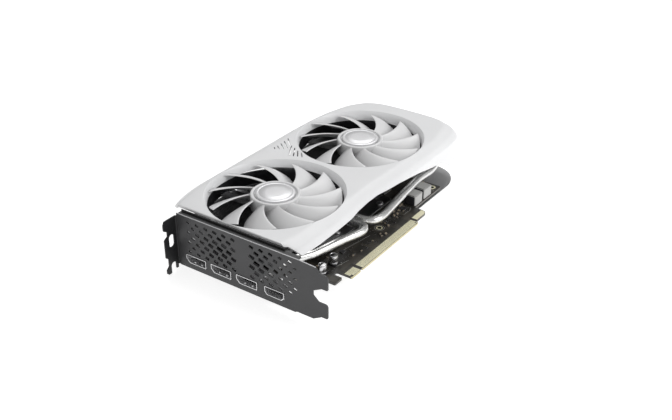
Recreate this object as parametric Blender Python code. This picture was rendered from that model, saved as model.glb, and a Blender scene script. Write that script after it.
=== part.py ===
"""Dual-fan graphics card, two slots thick, with the fans facing up.

Every dimension below is in millimetres and measured from the card's datum: X from the outer face of
the input-output bracket towards the tail, Y from the bottom edge of the slot contacts towards the top
of the card, Z from the component side of the circuit board towards the fans. The objects hang on an
empty that moves the datum, so the world origin is the centre of the underside of the whole card.
"""

import math

import bmesh
import bpy
from mathutils import Matrix, Vector

MM = 0.001
GAP = 0.3  # clearance left where two pieces touch

# Overall envelope
CARD_LENGTH = 224.5
CARD_HEIGHT = 123.2
SHROUD_TOP = 36.5

# Bracket of a two-slot card
BRACKET_THICKNESS = 0.86
BRACKET_LOW = -3.6
BRACKET_WIDTH = 38.74
BRACKET_HIGH = BRACKET_LOW + BRACKET_WIDTH
BRACKET_LENGTH = 120.02
TONGUE_TIP = -14.01
TONGUE_PITCH = 20.32
TONGUE_WIDTH = 10.19
FLANGE_TOP = TONGUE_TIP + BRACKET_LENGTH
FLANGE_DEPTH = 11.43
FLANGE_LOW = -7.0
FLANGE_HIGH = 33.0
SCREW_SLOT_WIDTH = 4.6
SCREW_LINE = -5.1
SCREW_SLOT_CENTRE = 16.6

# Circuit board
BOARD_THICKNESS = 1.57
BOARD_FRONT = 3.0
BOARD_TAIL = 185.5
BOARD_LOW = 12.4
BOARD_TOP = 111.15
CONTACTS_START = 46.7
CONTACTS_END = 130.5
KEY_NOTCH = (57.5, 59.4)
CONTACTS_ROOT = 8.0
HOOK_START = 132.6
HOOK_END = 147.0

# Fans
FAN_FRONT_X = 56.2
FAN_PITCH = 102.0
FAN_Y = 67.6
BLADES = 11
BLADE_TIP_RADIUS = 44.3
HUB_RADIUS = 16.9
HUB_TOP = 36.3
HUB_BOTTOM = 25.2
BLADE_TOP = 36.0
BLADE_DEPTH_ROOT = 9.6
BLADE_DEPTH_TIP = 9.0
DUCT_RADIUS = 45.4
DUCT_OUTER_RADIUS = 47.2
RIM_REACH_X = 48.9
RIM_REACH_Y = 46.9
DUCT_BOTTOM = 29.6
BLADE_START = math.radians(-4.3)
MOUNT_TOP = 22.0
MOUNT_BOTTOM = 20.0

# Shroud
SHROUD_FRONT = 7.0
SHROUD_MIDDLE_Y = 67.9
SHROUD_FOOT = 29.5
SHROUD_WALL = 2.0
SHROUD_SKIRT = 13.0

# Cooler
PIPE_RADIUS = 3.0
PIPE_Z = 12.0
FIN_TOP = 19.4
FIN_BOTTOM = 5.6
FIN_WEB = (15.6, 16.4)
FIN_PITCH = 3.4
FIN_THICKNESS = 0.6
FIN_NEAR_Y = 27.0
FIN_FAR_Y = 111.5
PIPE_LANE_Y = 41.0

# Backplate
BACKPLATE_TOP = -2.6
BACKPLATE_THICKNESS = 1.0
BACKPLATE_TAIL = 218.0

# World origin: centre of the underside of the whole card
ORIGIN = Vector((
    (FLANGE_DEPTH - CARD_LENGTH) / 2,
    -(TONGUE_TIP + CARD_HEIGHT) / 2,
    -FLANGE_LOW,
))


# ---------------------------------------------------------------- materials

def material(name, colour, roughness, metallic=0.0):
    made = bpy.data.materials.new(name)
    made.use_nodes = True
    shader = made.node_tree.nodes["Principled BSDF"]
    shader.inputs["Base Color"].default_value = (*colour, 1.0)
    shader.inputs["Roughness"].default_value = roughness
    shader.inputs["Metallic"].default_value = metallic
    made.diffuse_color = (*colour, 1.0)
    return made


def make_materials():
    return {
        "white_plastic": material("white_plastic", (0.80, 0.80, 0.80), 0.42),
        "fan_plastic": material("fan_plastic", (0.72, 0.72, 0.72), 0.45),
        "satin_metal": material("satin_metal", (0.62, 0.62, 0.63), 0.32, 0.9),
        "nickel": material("nickel", (0.83, 0.83, 0.82), 0.18, 1.0),
        "fin_aluminium": material("fin_aluminium", (0.50, 0.50, 0.51), 0.38, 1.0),
        "black_steel": material("black_steel", (0.075, 0.075, 0.078), 0.45, 0.3),
        "screw_steel": material("screw_steel", (0.55, 0.55, 0.56), 0.30, 1.0),
        "socket_steel": material("socket_steel", (0.70, 0.70, 0.71), 0.28, 1.0),
        "board": material("board", (0.030, 0.028, 0.025), 0.50),
        "black_plastic": material("black_plastic", (0.02, 0.02, 0.022), 0.50),
        "chip": material("chip", (0.035, 0.035, 0.038), 0.40),
        "choke": material("choke", (0.42, 0.42, 0.41), 0.55),
        "copper": material("copper", (0.72, 0.40, 0.25), 0.35, 1.0),
        "magnet": material("magnet", (0.10, 0.10, 0.11), 0.60, 0.3),
        "backplate_metal": material("backplate_metal", (0.30, 0.30, 0.30), 0.42, 0.7),
        "cable": material("cable", (0.03, 0.03, 0.03), 0.60),
    }


# ---------------------------------------------------------------- outlines

def rounded(corners, steps=3):
    """Closed outline through (x, y, radius) corners, each corner turned by an arc."""
    outline = []
    for index, (x, y, radius) in enumerate(corners):
        corner = Vector((x, y))
        if radius <= 0:
            outline.append(corner)
            continue
        back = (Vector(corners[index - 1][:2]) - corner).normalized()
        ahead = (Vector(corners[(index + 1) % len(corners)][:2]) - corner).normalized()
        half_angle = back.angle(ahead) / 2
        centre = corner + (back + ahead).normalized() * radius / math.sin(half_angle)
        start = corner + back * radius / math.tan(half_angle) - centre
        end = corner + ahead * radius / math.tan(half_angle) - centre
        for step in range(steps + 1):
            outline.append(centre + radius * start.slerp(end, step / steps))
    return outline


def rectangle(x0, y0, x1, y1, radius=0.0, steps=3):
    return rounded([(x0, y0, radius), (x1, y0, radius), (x1, y1, radius), (x0, y1, radius)], steps)


def circle(x, y, radius, segments=24):
    turn = 2 * math.pi / segments
    return [Vector((x + radius * math.cos(i * turn), y + radius * math.sin(i * turn)))
            for i in range(segments)]


def stadium(x, y, length, width, steps=4):
    """Outline of a slot with round ends, long way along the second axis."""
    radius = width / 2
    reach = length / 2 - radius
    arcs = [(y + reach, 0.0), (y - reach, math.pi)]
    return [Vector((x + radius * math.cos(start + math.pi * step / steps),
                    middle + radius * math.sin(start + math.pi * step / steps)))
            for middle, start in arcs for step in range(steps + 1)]


# ---------------------------------------------------------------- solids

PLANES = {
    "XY": lambda a, b, depth: Vector((a, b, depth)),
    "YZ": lambda a, b, depth: Vector((depth, a, b)),
    "XZ": lambda a, b, depth: Vector((a, depth, b)),
}


def plate(outline, low, high, plane="XY", holes=()):
    """Prism between two levels of a plane, with holes right through it."""
    bm = bmesh.new()
    place = PLANES[plane]
    for loop in (outline, *holes):
        verts = [bm.verts.new(place(point[0], point[1], low)) for point in loop]
        for index, vert in enumerate(verts):
            bm.edges.new((verts[index - 1], vert))
    bmesh.ops.triangle_fill(bm, use_beauty=True, use_dissolve=False, edges=bm.edges)
    pushed = bmesh.ops.extrude_face_region(bm, geom=bm.faces)["geom"]
    shift = place(0, 0, high) - place(0, 0, low)
    raised = [item for item in pushed if isinstance(item, bmesh.types.BMVert)]
    bmesh.ops.translate(bm, vec=shift, verts=raised)
    bmesh.ops.recalc_face_normals(bm, faces=bm.faces)
    return bm


def box(low, high):
    return plate(rectangle(low[0], low[1], high[0], high[1]), low[2], high[2])


def turned(profile, segments, x=0.0, y=0.0):
    """Solid of revolution about a Z axis; the profile is a closed loop of (radius, z)."""
    bm = bmesh.new()
    rings = []
    for radius, z in profile:
        if radius < 1e-6:
            rings.append([bm.verts.new((x, y, z))])
        else:
            rings.append([bm.verts.new((*point, z)) for point in circle(x, y, radius, segments)])
    for index, ring in enumerate(rings):
        before = rings[index - 1]
        for step in range(segments):
            corners = [before[step % len(before)], before[(step + 1) % len(before)],
                       ring[(step + 1) % len(ring)], ring[step % len(ring)]]
            unique = list(dict.fromkeys(corners))
            if len(unique) > 2:
                bm.faces.new(unique)
    bmesh.ops.recalc_face_normals(bm, faces=bm.faces)
    return bm


def loft(outlines, levels):
    """Closed solid through outlines of equal length, one at each Z level."""
    bm = bmesh.new()
    rings = [[bm.verts.new((point[0], point[1], level)) for point in outline]
             for outline, level in zip(outlines, levels)]
    for low, high in zip(rings, rings[1:]):
        for index in range(len(low)):
            bm.faces.new((low[index - 1], low[index], high[index], high[index - 1]))
    bm.faces.new(rings[0])
    bm.faces.new(rings[-1])
    bmesh.ops.triangulate(bm, faces=[face for face in bm.faces if len(face.verts) > 4])
    bmesh.ops.recalc_face_normals(bm, faces=bm.faces)
    return bm


def tube(route, radius, sides=8, spacing=3.0):
    """Round bar along a smooth curve through the route's points."""
    path = smooth_route(route, spacing)
    bm = bmesh.new()
    rings = []
    across = Vector((0, 0, 1))
    for index, point in enumerate(path):
        ahead = path[min(index + 1, len(path) - 1)] - path[max(index - 1, 0)]
        ahead.normalize()
        across = (across - ahead * across.dot(ahead)).normalized()
        other = ahead.cross(across)
        rings.append([bm.verts.new(point + radius * (across * math.cos(turn) + other * math.sin(turn)))
                      for turn in (2 * math.pi * side / sides for side in range(sides))])
    for low, high in zip(rings, rings[1:]):
        for side in range(sides):
            bm.faces.new((low[side - 1], low[side], high[side], high[side - 1]))
    bm.faces.new(rings[0])
    bm.faces.new(rings[-1])
    bmesh.ops.recalc_face_normals(bm, faces=bm.faces)
    return bm


def smooth_route(route, spacing):
    """Points at an even spacing on a Catmull-Rom curve through the route."""
    knots = [Vector(point) for point in route]
    knots = [2 * knots[0] - knots[1], *knots, 2 * knots[-1] - knots[-2]]
    fine = []
    for a, b, c, d in zip(knots, knots[1:], knots[2:], knots[3:]):
        for step in range(16):
            t = step / 16
            fine.append(0.5 * (2 * b + (c - a) * t + (2 * a - 5 * b + 4 * c - d) * t * t
                               + (3 * b - a - 3 * c + d) * t ** 3))
    fine.append(knots[-2])
    path = [fine[0]]
    for point in fine[1:]:
        if (point - path[-1]).length >= spacing:
            path.append(point)
    path[-1] = fine[-1]
    return path


def combined(base, other, operation):
    """Boolean of two meshes; both are used up and the result is a new mesh."""
    made = [scratch_object(bm) for bm in (base, other)]
    modifier = made[0].modifiers.new("combine", "BOOLEAN")
    modifier.operation = operation
    modifier.solver = "EXACT"
    modifier.object = made[1]
    bpy.context.view_layer.update()
    graph = bpy.context.evaluated_depsgraph_get()
    result = bmesh.new()
    result.from_mesh(made[0].evaluated_get(graph).to_mesh())
    for item in made:
        mesh = item.data
        bpy.data.objects.remove(item)
        bpy.data.meshes.remove(mesh)
    bmesh.ops.dissolve_degenerate(result, dist=0.0005, edges=result.edges)
    return result


def scratch_object(bm):
    mesh = bpy.data.meshes.new("scratch")
    bm.to_mesh(mesh)
    bm.free()
    item = bpy.data.objects.new("scratch", mesh)
    bpy.context.collection.objects.link(item)
    return item


def cut(base, *cutters):
    for cutter in cutters:
        base = combined(base, cutter, "DIFFERENCE")
    return base


def joined(base, *others):
    for other in others:
        base = combined(base, other, "UNION")
    return base


def several(solids):
    """One mesh that holds solids which do not touch, for use as a cutter or an operand."""
    whole = bmesh.new()
    for solid in solids:
        mesh = bpy.data.meshes.new("scratch")
        solid.to_mesh(mesh)
        solid.free()
        whole.from_mesh(mesh)
        bpy.data.meshes.remove(mesh)
    return whole


def add(name, bm, finish, parent, smooth=False):
    bmesh.ops.scale(bm, vec=(MM, MM, MM), verts=bm.verts)
    mesh = bpy.data.meshes.new(name)
    bm.to_mesh(mesh)
    bm.free()
    mesh.materials.append(finish)
    if smooth:
        mesh.shade_smooth()
        mesh.set_sharp_from_angle(angle=math.radians(35))
    item = bpy.data.objects.new(name, mesh)
    bpy.context.collection.objects.link(item)
    item.parent = parent
    return item


def empty(name, parent, place):
    made = bpy.data.objects.new(name, None)
    made.empty_display_size = 0.01
    made.location = Vector(place) * MM
    made.parent = parent
    bpy.context.collection.objects.link(made)
    return made


# ---------------------------------------------------------------- shroud

# (x, foot half-width, crease half-width) from the front of the card to the tail
NEAR_SIDE = [(7.0, 49.0, 42.6), (10.5, 54.6, 43.5), (32.0, 55.3, 45.2), (70.0, 55.3, 46.0),
             (140.0, 55.3, 47.0), (184.0, 55.3, 47.0), (204.0, 54.4, 43.6)]
FAR_SIDE = [(7.0, 43.8, 41.2), (12.0, 49.5, 43.0), (35.0, 55.3, 46.0), (100.0, 55.3, 46.4),
            (160.0, 55.3, 46.0), (182.0, 53.5, 43.5), (203.0, 48.0, 38.0)]
# (x, y from the middle) round the tail, foot outline then crease outline
TAIL_FOOT = [(216.5, -50.0), (223.0, -42.0), (224.5, -30.0), (224.5, 0.0), (223.5, 24.0),
             (220.5, 35.0), (213.0, 43.0)]
TAIL_CREASE = [(214.0, -40.5), (219.5, -36.0), (221.8, -27.0), (222.5, 0.0), (221.5, 20.0),
               (217.5, 30.0), (211.0, 35.0)]


def shroud_outline(column, tail, inset):
    """Outline at one level, going along the near side, round the tail and back along the far side."""
    near = [(max(row[0], SHROUD_FRONT + inset), -row[column] + inset) for row in NEAR_SIDE]
    far = [(max(row[0], SHROUD_FRONT + inset), row[column] - inset) for row in reversed(FAR_SIDE)]
    round_tail = [(x - inset, y * (1 - inset / 50)) for x, y in tail]
    return [Vector((x, SHROUD_MIDDLE_Y + y)) for x, y in (*near, *round_tail, *far)]


def shroud_block(inset, bottom):
    foot = shroud_outline(1, TAIL_FOOT, inset)
    crease = shroud_outline(2, TAIL_CREASE, inset)
    return loft([foot, foot, crease], [bottom, SHROUD_FOOT - inset * 0.6, SHROUD_TOP - inset])


def fan_centres():
    return [("front", FAN_FRONT_X), ("rear", FAN_FRONT_X + FAN_PITCH)]


def fan_opening(x):
    """Space of a fan opening: a round duct that flares into a rim slightly wider along the card."""
    levels = [(DUCT_BOTTOM - 5, DUCT_RADIUS, DUCT_RADIUS), (SHROUD_TOP - 6.5, DUCT_RADIUS, DUCT_RADIUS),
              (SHROUD_TOP - 3.2, DUCT_RADIUS + 0.5, DUCT_RADIUS + 0.3),
              (SHROUD_TOP - 1.3, RIM_REACH_X - 1.6, RIM_REACH_Y - 0.6),
              (SHROUD_TOP + 0.05, RIM_REACH_X, RIM_REACH_Y), (60.0, RIM_REACH_X, RIM_REACH_Y)]
    return loft([[Vector((x + rx * p.x, FAN_Y + ry * p.y)) for p in circle(0, 0, 1, 48)]
                 for _, rx, ry in levels], [z for z, _, _ in levels])


def make_shroud(finish, datum):
    cavity = shroud_block(SHROUD_WALL, SHROUD_SKIRT - 4)
    body = shroud_block(0.0, SHROUD_SKIRT)
    for _, x in fan_centres():
        cavity = cut(cavity, turned([(0, DUCT_BOTTOM), (DUCT_OUTER_RADIUS, DUCT_BOTTOM),
                                     (DUCT_OUTER_RADIUS, 60), (0, 60)], 48, x, FAN_Y))
    body = cut(body, cavity)
    for _, x in fan_centres():
        body = cut(body, fan_opening(x))
    low = SHROUD_SKIRT - 5
    lower_edge = [(-1, low), (191.0, low), (196.0, 13.6), (184.5, 20.0), (168.0, 22.9), (153.0, 25.8),
                  (139.0, 28.0), (124.0, 29.8), (111.0, 30.6), (99.0, 31.4), (87.0, 31.4), (75.0, 30.9),
                  (65.0, 29.8), (51.0, 29.2), (30.0, 28.9), (12.0, 29.8), (8.8, 34.9), (-1, 34.9)]
    arch = plate(lower_edge, -5, CARD_HEIGHT + 5, "XZ")
    body = cut(body, arch)
    add("shroud", body, finish["white_plastic"], datum)


# ---------------------------------------------------------------- fans

def blade_angle(part):
    """Turn of a blade's upper edge from hub (0) to tip (1), in radians."""
    return math.radians(27.0 * part ** 0.9)


def blade(first_angle):
    """One swept blade; its upper edge leads and its lower edge trails the spin."""
    spans = 4
    chords = 3
    thickness = 1.3
    sides = []
    for side in (0.5, -0.5):
        grid = []
        for i in range(spans + 1):
            part = i / spans
            radius = HUB_RADIUS - 1.0 + part * (BLADE_TIP_RADIUS - HUB_RADIUS + 1.0)
            chord = math.radians(36.0 - 10.0 * part)
            depth = BLADE_DEPTH_ROOT + part * (BLADE_DEPTH_TIP - BLADE_DEPTH_ROOT)
            row = []
            for j in range(chords + 1):
                along = j / chords
                angle = first_angle + blade_angle(part) - chord * along
                fall = depth * (along * 0.75 + 0.25 * along * along)
                taper = thickness * (1.0 - 0.45 * abs(2 * along - 1))
                row.append(Vector((radius * math.cos(angle), radius * math.sin(angle),
                                   BLADE_TOP - 1.0 - fall + side * taper)))
            grid.append(row)
        sides.append(grid)
    bm = bmesh.new()
    top, bottom = [[[bm.verts.new(point) for point in row] for row in grid] for grid in sides]
    for i in range(spans):
        for j in range(chords):
            bm.faces.new((top[i][j], top[i + 1][j], top[i + 1][j + 1], top[i][j + 1]))
            bm.faces.new((bottom[i][j], bottom[i][j + 1], bottom[i + 1][j + 1], bottom[i + 1][j]))
    for i in range(spans):
        for j in (0, chords):
            bm.faces.new((top[i][j], bottom[i][j], bottom[i + 1][j], top[i + 1][j]))
    for j in range(chords):
        for i in (0, spans):
            bm.faces.new((top[i][j], top[i][j + 1], bottom[i][j + 1], bottom[i][j]))
    bmesh.ops.triangulate(bm, faces=bm.faces)
    bmesh.ops.recalc_face_normals(bm, faces=bm.faces)
    return bm


def rotor_solid():
    """Hub cup open underneath, with a raised rim round a recess for the cap, and its blades."""
    wall = 1.6
    floor = HUB_TOP - 1.3
    hub = turned([(0, floor), (HUB_RADIUS - wall, floor), (HUB_RADIUS - wall, HUB_TOP - 0.3),
                  (HUB_RADIUS - 0.8, HUB_TOP), (HUB_RADIUS, HUB_TOP - 0.9), (HUB_RADIUS, HUB_BOTTOM),
                  (HUB_RADIUS - wall, HUB_BOTTOM), (HUB_RADIUS - wall, floor - 1.6), (0, floor - 1.6)], 30)
    turn = 2 * math.pi / BLADES
    blades = several([blade(BLADE_START + turn * index) for index in range(BLADES)])
    return joined(hub, blades)


def stator_solid():
    """Four-pole wound core round the bearing tube."""
    bore = 4.4
    outline = []
    for pole in range(4):
        centre = math.pi / 2 * pole
        for angle, radius in ((-0.68, 11.8), (0.0, 12.2), (0.68, 11.8), (0.76, 8.0)):
            outline.append(Vector((radius * math.cos(centre + angle), radius * math.sin(centre + angle))))
    return plate(outline, HUB_BOTTOM - 0.8, HUB_TOP - 4.0, holes=[circle(0, 0, bore, 16)])


def mount_solid():
    """Ring below the duct, with three arms to the bearing tube under the rotor."""
    disc = turned([(1.9, MOUNT_BOTTOM), (15.6, MOUNT_BOTTOM), (15.6, MOUNT_TOP), (4.0, MOUNT_TOP),
                   (4.0, HUB_TOP - 4.2), (1.9, HUB_TOP - 4.2)], 24)
    ring = turned([(DUCT_RADIUS + 0.2, MOUNT_BOTTOM), (DUCT_OUTER_RADIUS, MOUNT_BOTTOM),
                   (DUCT_OUTER_RADIUS, DUCT_BOTTOM - 0.3), (DUCT_RADIUS + 0.2, DUCT_BOTTOM - 0.3)], 48)
    arms = []
    for index in range(3):
        angle = math.radians(90 + 120 * index)
        arm = plate(rectangle(13.0, -3.2, 46.4, 3.2, 0.5), MOUNT_BOTTOM + 0.2, MOUNT_TOP - 0.15)
        bmesh.ops.rotate(arm, matrix=Matrix.Rotation(angle, 3, "Z"), verts=arm.verts)
        arms.append(arm)
    return joined(joined(disc, ring), several(arms))


def make_fan(which, x, finish, datum):
    axis = empty(f"fan_axis_{which}", datum, (x, FAN_Y, 0))
    add(f"fan_rotor_{which}", rotor_solid(), finish["fan_plastic"], axis, smooth=True)
    cap = turned([(0, HUB_TOP - 1.0), (13.2, HUB_TOP - 1.0), (13.2, HUB_TOP + 0.3), (12.6, HUB_TOP + 0.7),
                  (0, HUB_TOP + 0.9)], 28)
    add(f"fan_cap_{which}", cap, finish["satin_metal"], axis, smooth=True)
    shaft = turned([(0, MOUNT_BOTTOM + 0.3), (1.5, MOUNT_BOTTOM + 0.3), (1.5, HUB_TOP - 3.3),
                    (0, HUB_TOP - 3.3)], 16)
    add(f"fan_shaft_{which}", shaft, finish["screw_steel"], axis, smooth=True)
    magnet = turned([(12.7, HUB_BOTTOM + 0.3), (15.0, HUB_BOTTOM + 0.3), (15.0, HUB_TOP - 3.3),
                     (12.7, HUB_TOP - 3.3)], 20)
    add(f"fan_magnet_{which}", magnet, finish["magnet"], axis, smooth=True)
    add(f"fan_stator_{which}", stator_solid(), finish["copper"], axis)
    add(f"fan_mount_{which}", mount_solid(), finish["fan_plastic"], axis)


# ---------------------------------------------------------------- cooler

def comb_outline(start, end):
    """Side view of a fin stack: a web with fins standing up and hanging down from it."""
    count = int((end - start - FIN_THICKNESS) / FIN_PITCH)
    upper = []
    lower = []
    for index in range(count + 1):
        x = start + index * FIN_PITCH
        for outline, web, tip in ((upper, FIN_WEB[1], FIN_TOP), (lower, FIN_WEB[0], FIN_BOTTOM)):
            if index:
                outline.append((x, web))
            outline += [(x, tip), (x + FIN_THICKNESS, tip)]
            if index < count:
                outline.append((x + FIN_THICKNESS, web))
    return [*upper, *reversed(lower)]


def fin_stack(start, end, near_y, *keep_outs):
    """Fins from start to end; each keep-out is an (x0, y0, x1, y1) area with no fins below the web."""
    stack = plate(comb_outline(start, end), near_y, FIN_FAR_Y, "XZ")
    level = FIN_WEB[0] - 0.05
    return cut(stack, *(box((x0, y0, 0), (x1, y1, level)) for x0, y0, x1, y1 in keep_outs))


def make_cooler(finish, datum):
    aluminium = finish["fin_aluminium"]
    near = FIN_NEAR_Y - 5
    front = fin_stack(8.0, 68.5, FIN_NEAR_Y, (0, near, 75, PIPE_LANE_Y), (0, near, 17.5, FIN_FAR_Y + 5))
    add("fin_stack_front", front, aluminium, datum)
    centre = fin_stack(70.4, 115.0, PIPE_LANE_Y + 1, (60, 30, 130, 95))
    add("fin_stack_centre", centre, aluminium, datum)
    rear = fin_stack(117.0, 208.0, FIN_NEAR_Y, (110, near, 215, PIPE_LANE_Y), (150, 93, 177, FIN_FAR_Y + 5))
    add("fin_stack_rear", rear, aluminium, datum)
    add("cold_plate", plate(rectangle(75.5, 45, 113.0, 86.0, 1.5), 2.2, PIPE_Z - PIPE_RADIUS - GAP),
        finish["nickel"], datum)
    front_route = [(14, 36), (24, 34.0), (33, 29.0), (41.4, 25.0), (53.8, 22.0), (66.5, 18.9),
                   (76.6, 15.9), (82.5, 15.2), (86.2, 17.2), (87.3, 22.5), (86.8, 30), (86.5, 82)]
    rear_route = [(202, 34), (197.5, 25.5), (184.6, 21.4), (168, 21.8), (152.3, 20.3), (135.5, 18.4),
                  (118.2, 16.0), (105.7, 14.8), (98.5, 16.2), (95.2, 19.8), (94.1, 25), (93.8, 34), (94, 82)]
    for which, route in (("front", front_route), ("rear", rear_route)):
        bar = tube([(x, y, PIPE_Z) for x, y in route], PIPE_RADIUS, 8, 4.0)
        add(f"heat_pipe_{which}", bar, finish["nickel"], datum, smooth=True)
    window = rectangle(74.0, 43.5, 114.5, 87.5)
    add("memory_plate", plate(rectangle(58, 28.5, 142, 104, 2), 3.4, 4.6, holes=[window]),
        finish["fin_aluminium"], datum)


# ---------------------------------------------------------------- board

def board_outline():
    edge = 0.8
    return rounded([
        (BOARD_FRONT, 22.0, 0), (34.5, 22.0, 1.0), (34.5, 4.6, 1.0), (42.8, 4.6, 1.0),
        (42.8, 11.7, 1.0), (CONTACTS_START, 11.7, 1.0), (CONTACTS_START, 0, edge),
        (KEY_NOTCH[0], 0, edge), (KEY_NOTCH[0], CONTACTS_ROOT, 0), (KEY_NOTCH[1], CONTACTS_ROOT, 0),
        (KEY_NOTCH[1], 0, edge), (CONTACTS_END, 0, edge), (CONTACTS_END, CONTACTS_ROOT, 0),
        (HOOK_START, CONTACTS_ROOT, 0), (HOOK_START, 2.2, 0.6), (HOOK_END, 2.2, 4.0),
        (HOOK_END, BOARD_LOW, 1.5), (BOARD_TAIL, BOARD_LOW, 2.0), (BOARD_TAIL, BOARD_TOP, 2.0),
        (BOARD_FRONT, BOARD_TOP, 1.0),
    ], 2)


def standing_can(x, y, radius, height, segments=14):
    """Small can capacitor on a square base, as one turned solid with a waisted foot."""
    low = 0.3
    return turned([(0, low), (radius, low), (radius, low + 0.8), (radius - 0.3, low + 1.1),
                   (radius - 0.3, height - 0.5), (radius - 0.7, height), (0, height)], segments, x, y)


def make_board(finish, datum):
    mount_hole = circle(108.4, 18.3, 1.6, 16)
    add("circuit_board", plate(board_outline(), -BOARD_THICKNESS, 0, holes=[mount_hole]),
        finish["board"], datum)
    add("gpu_package", plate(rectangle(76, 48, 111, 83, 0.8), GAP, 1.1), finish["board"], datum)
    add("gpu_die", plate(rectangle(84, 59, 103, 73), 1.1 + GAP, 1.9), finish["satin_metal"], datum)
    places = [(62, 34), (62, 56), (62, 78), (80, 91)]
    for index, (x, y) in enumerate(places, 1):
        chip = plate(rectangle(x, y, x + 10, y + 14) if index < 4 else rectangle(x, y, x + 14, y + 10),
                     GAP, 1.4)
        add(f"memory_chip_{index}", chip, finish["chip"], datum)
    for index, x in enumerate((147.8, 160.8), 1):
        add(f"edge_choke_{index}", plate(rectangle(x, 13.0, x + 10.8, 22.5, 0.8), GAP, 8.0),
            finish["choke"], datum)
    for index in range(3):
        y = 40.0 + 15.0 * index
        add(f"choke_{index + 1}", plate(rectangle(150, y, 160, y + 10, 0.8), GAP, 4.9),
            finish["choke"], datum)
    for index, (x, y) in enumerate(((39.5, 18.0), (53.0, 18.5)), 1):
        add(f"capacitor_{index}", standing_can(x, y, 3.2, 7.0), finish["satin_metal"], datum, smooth=True)
    socket = box((152.0, 96.0, GAP), (174.4, 110.6, 10.4))
    wells = [box((153.4 + 5.1 * column, 101.5, 1.2 + 4.6 * row),
                 (157.2 + 5.1 * column, 115.0, 5.0 + 4.6 * row))
             for column in range(4) for row in range(2)]
    add("power_connector", cut(socket, several(wells)), finish["black_plastic"], datum)


# ---------------------------------------------------------------- bracket and sockets

DISPLAYPORT_Y = (89.6, 68.7, 47.8)
DISPLAYPORT_SIZE = (16.6, 6.0)
HDMI_Y = 26.0
HDMI_SIZE = (15.0, 5.9)
SOCKET_Z = 3.9
BRACKET_TABS_Y = (36.6, 102.0)
VENT_PITCH = 7.35
VENT_ROW_PITCH = 3.65
VENT_TOP_ROW = 31.3
# (lowest Y, highest Y, Y of the largest slots) of each group of vents
VENT_GROUPS = [(57.0, 96.0, 68.0), (9.0, 44.5, 38.0)]


def displayport_outline(y, grow=0.0):
    """Rectangle with one cut corner, on the far low side."""
    half, tall = DISPLAYPORT_SIZE[0] / 2 + grow, DISPLAYPORT_SIZE[1] / 2 + grow
    cut_back = 2.6
    return [Vector(point) for point in (
        (y - half, SOCKET_Z - tall), (y + half - cut_back, SOCKET_Z - tall),
        (y + half, SOCKET_Z - tall + cut_back), (y + half, SOCKET_Z + tall), (y - half, SOCKET_Z + tall))]


def hdmi_outline(y, grow=0.0):
    """Rectangle with both low corners cut."""
    half, tall = HDMI_SIZE[0] / 2 + grow, HDMI_SIZE[1] / 2 + grow
    cut_back = 1.9
    return [Vector(point) for point in (
        (y - half, SOCKET_Z - tall + cut_back), (y - half + cut_back, SOCKET_Z - tall),
        (y + half - cut_back, SOCKET_Z - tall), (y + half, SOCKET_Z - tall + cut_back),
        (y + half, SOCKET_Z + tall), (y - half, SOCKET_Z + tall))]


def socket_solid(outline_of, y, tongue_half_width):
    """Sheet-metal socket with a blind cavity and a contact tongue at its back."""
    shell = plate(outline_of(y), -0.5, 16.0, "YZ")
    cavity = plate(outline_of(y, -0.5), -3.0, 12.0, "YZ")
    tongue = plate(rectangle(y - tongue_half_width, SOCKET_Z - 0.2, y + tongue_half_width, SOCKET_Z + 1.2),
                   4.8, 13.0, "YZ")
    return joined(cut(shell, cavity), tongue)


def vent_slots():
    """Leaning slots on one staggered lattice, in two groups; they shrink away from each group's middle."""
    slots = []
    for row in range(7):
        z = VENT_TOP_ROW - VENT_ROW_PITCH * row
        for column in range(-3, 10):
            y = HDMI_Y + 2.4 + VENT_PITCH * (column + 0.5 * (row % 2))
            for low_y, high_y, middle_y in VENT_GROUPS:
                if not low_y < y < high_y:
                    continue
                away = min(1.0, math.hypot((y - middle_y) / 30.0, (z - 19.5) / 19.0))
                size = 1.0 - 0.55 * away
                reach, tall, lean, rise = 2.1 * size, 1.3 * size, 0.65 * size, 0.76 * size
                slots.append([Vector(point) for point in (
                    (y - reach + lean, z - rise - tall), (y + reach + lean, z + rise - tall),
                    (y + reach - lean, z + rise + tall), (y - reach - lean, z - rise + tall))])
    return slots


def bracket_outline():
    low, high = BRACKET_LOW, BRACKET_HIGH
    first = BRACKET_LOW + 9.4
    second = first + TONGUE_PITCH
    half = TONGUE_WIDTH / 2
    tip = TONGUE_TIP
    return rounded([
        (FLANGE_TOP - 0.4, low, 0), (FLANGE_TOP - 0.4, high, 0), (6.0, high, 1.0), (-5.2, high - 0.6, 1.0),
        (-8.2, second + half, 0.8), (tip, second + half, 2.0), (tip, second - half, 1.0),
        (-9.5, second - half, 0.8), (-3.3, second - half - 3.4, 1.0), (-3.3, first + half + 3.4, 1.0),
        (-7.2, first + half, 0.8), (tip, first + half, 2.0), (tip, first - half, 1.0),
        (-9.5, first - half, 0.8), (-3.4, low + 0.8, 0.8), (9.0, low + 0.8, 0),
        (10.2, low, 0),
    ], 2)


def flange_outline():
    outer = -FLANGE_DEPTH
    slot = SCREW_SLOT_WIDTH / 2
    return rounded([
        (0.45, FLANGE_HIGH, 0), (outer + 1.4, FLANGE_HIGH, 0.6), (outer, FLANGE_HIGH - 2.4, 0.6),
        (outer, 26.4, 0.6), (-8.4, 24.6, 0.6), (-8.4, 21.2, 0.6), (outer, 19.4, 0.6), (outer, 6.2, 0.6),
        (-9.2, 4.6, 0.6), (-9.2, -1.0, 0.6), (outer, -3.0, 0.6), (outer, -5.8, 0.6),
        (-10.0, FLANGE_LOW, 0.6), (SCREW_LINE - slot, FLANGE_LOW, 0.5), (SCREW_LINE - slot, 0.4, 2.2),
        (SCREW_LINE + slot, 0.4, 2.2), (SCREW_LINE + slot, -5.6, 0.5), (0.45, -5.6, 0),
    ], 2)


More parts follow.
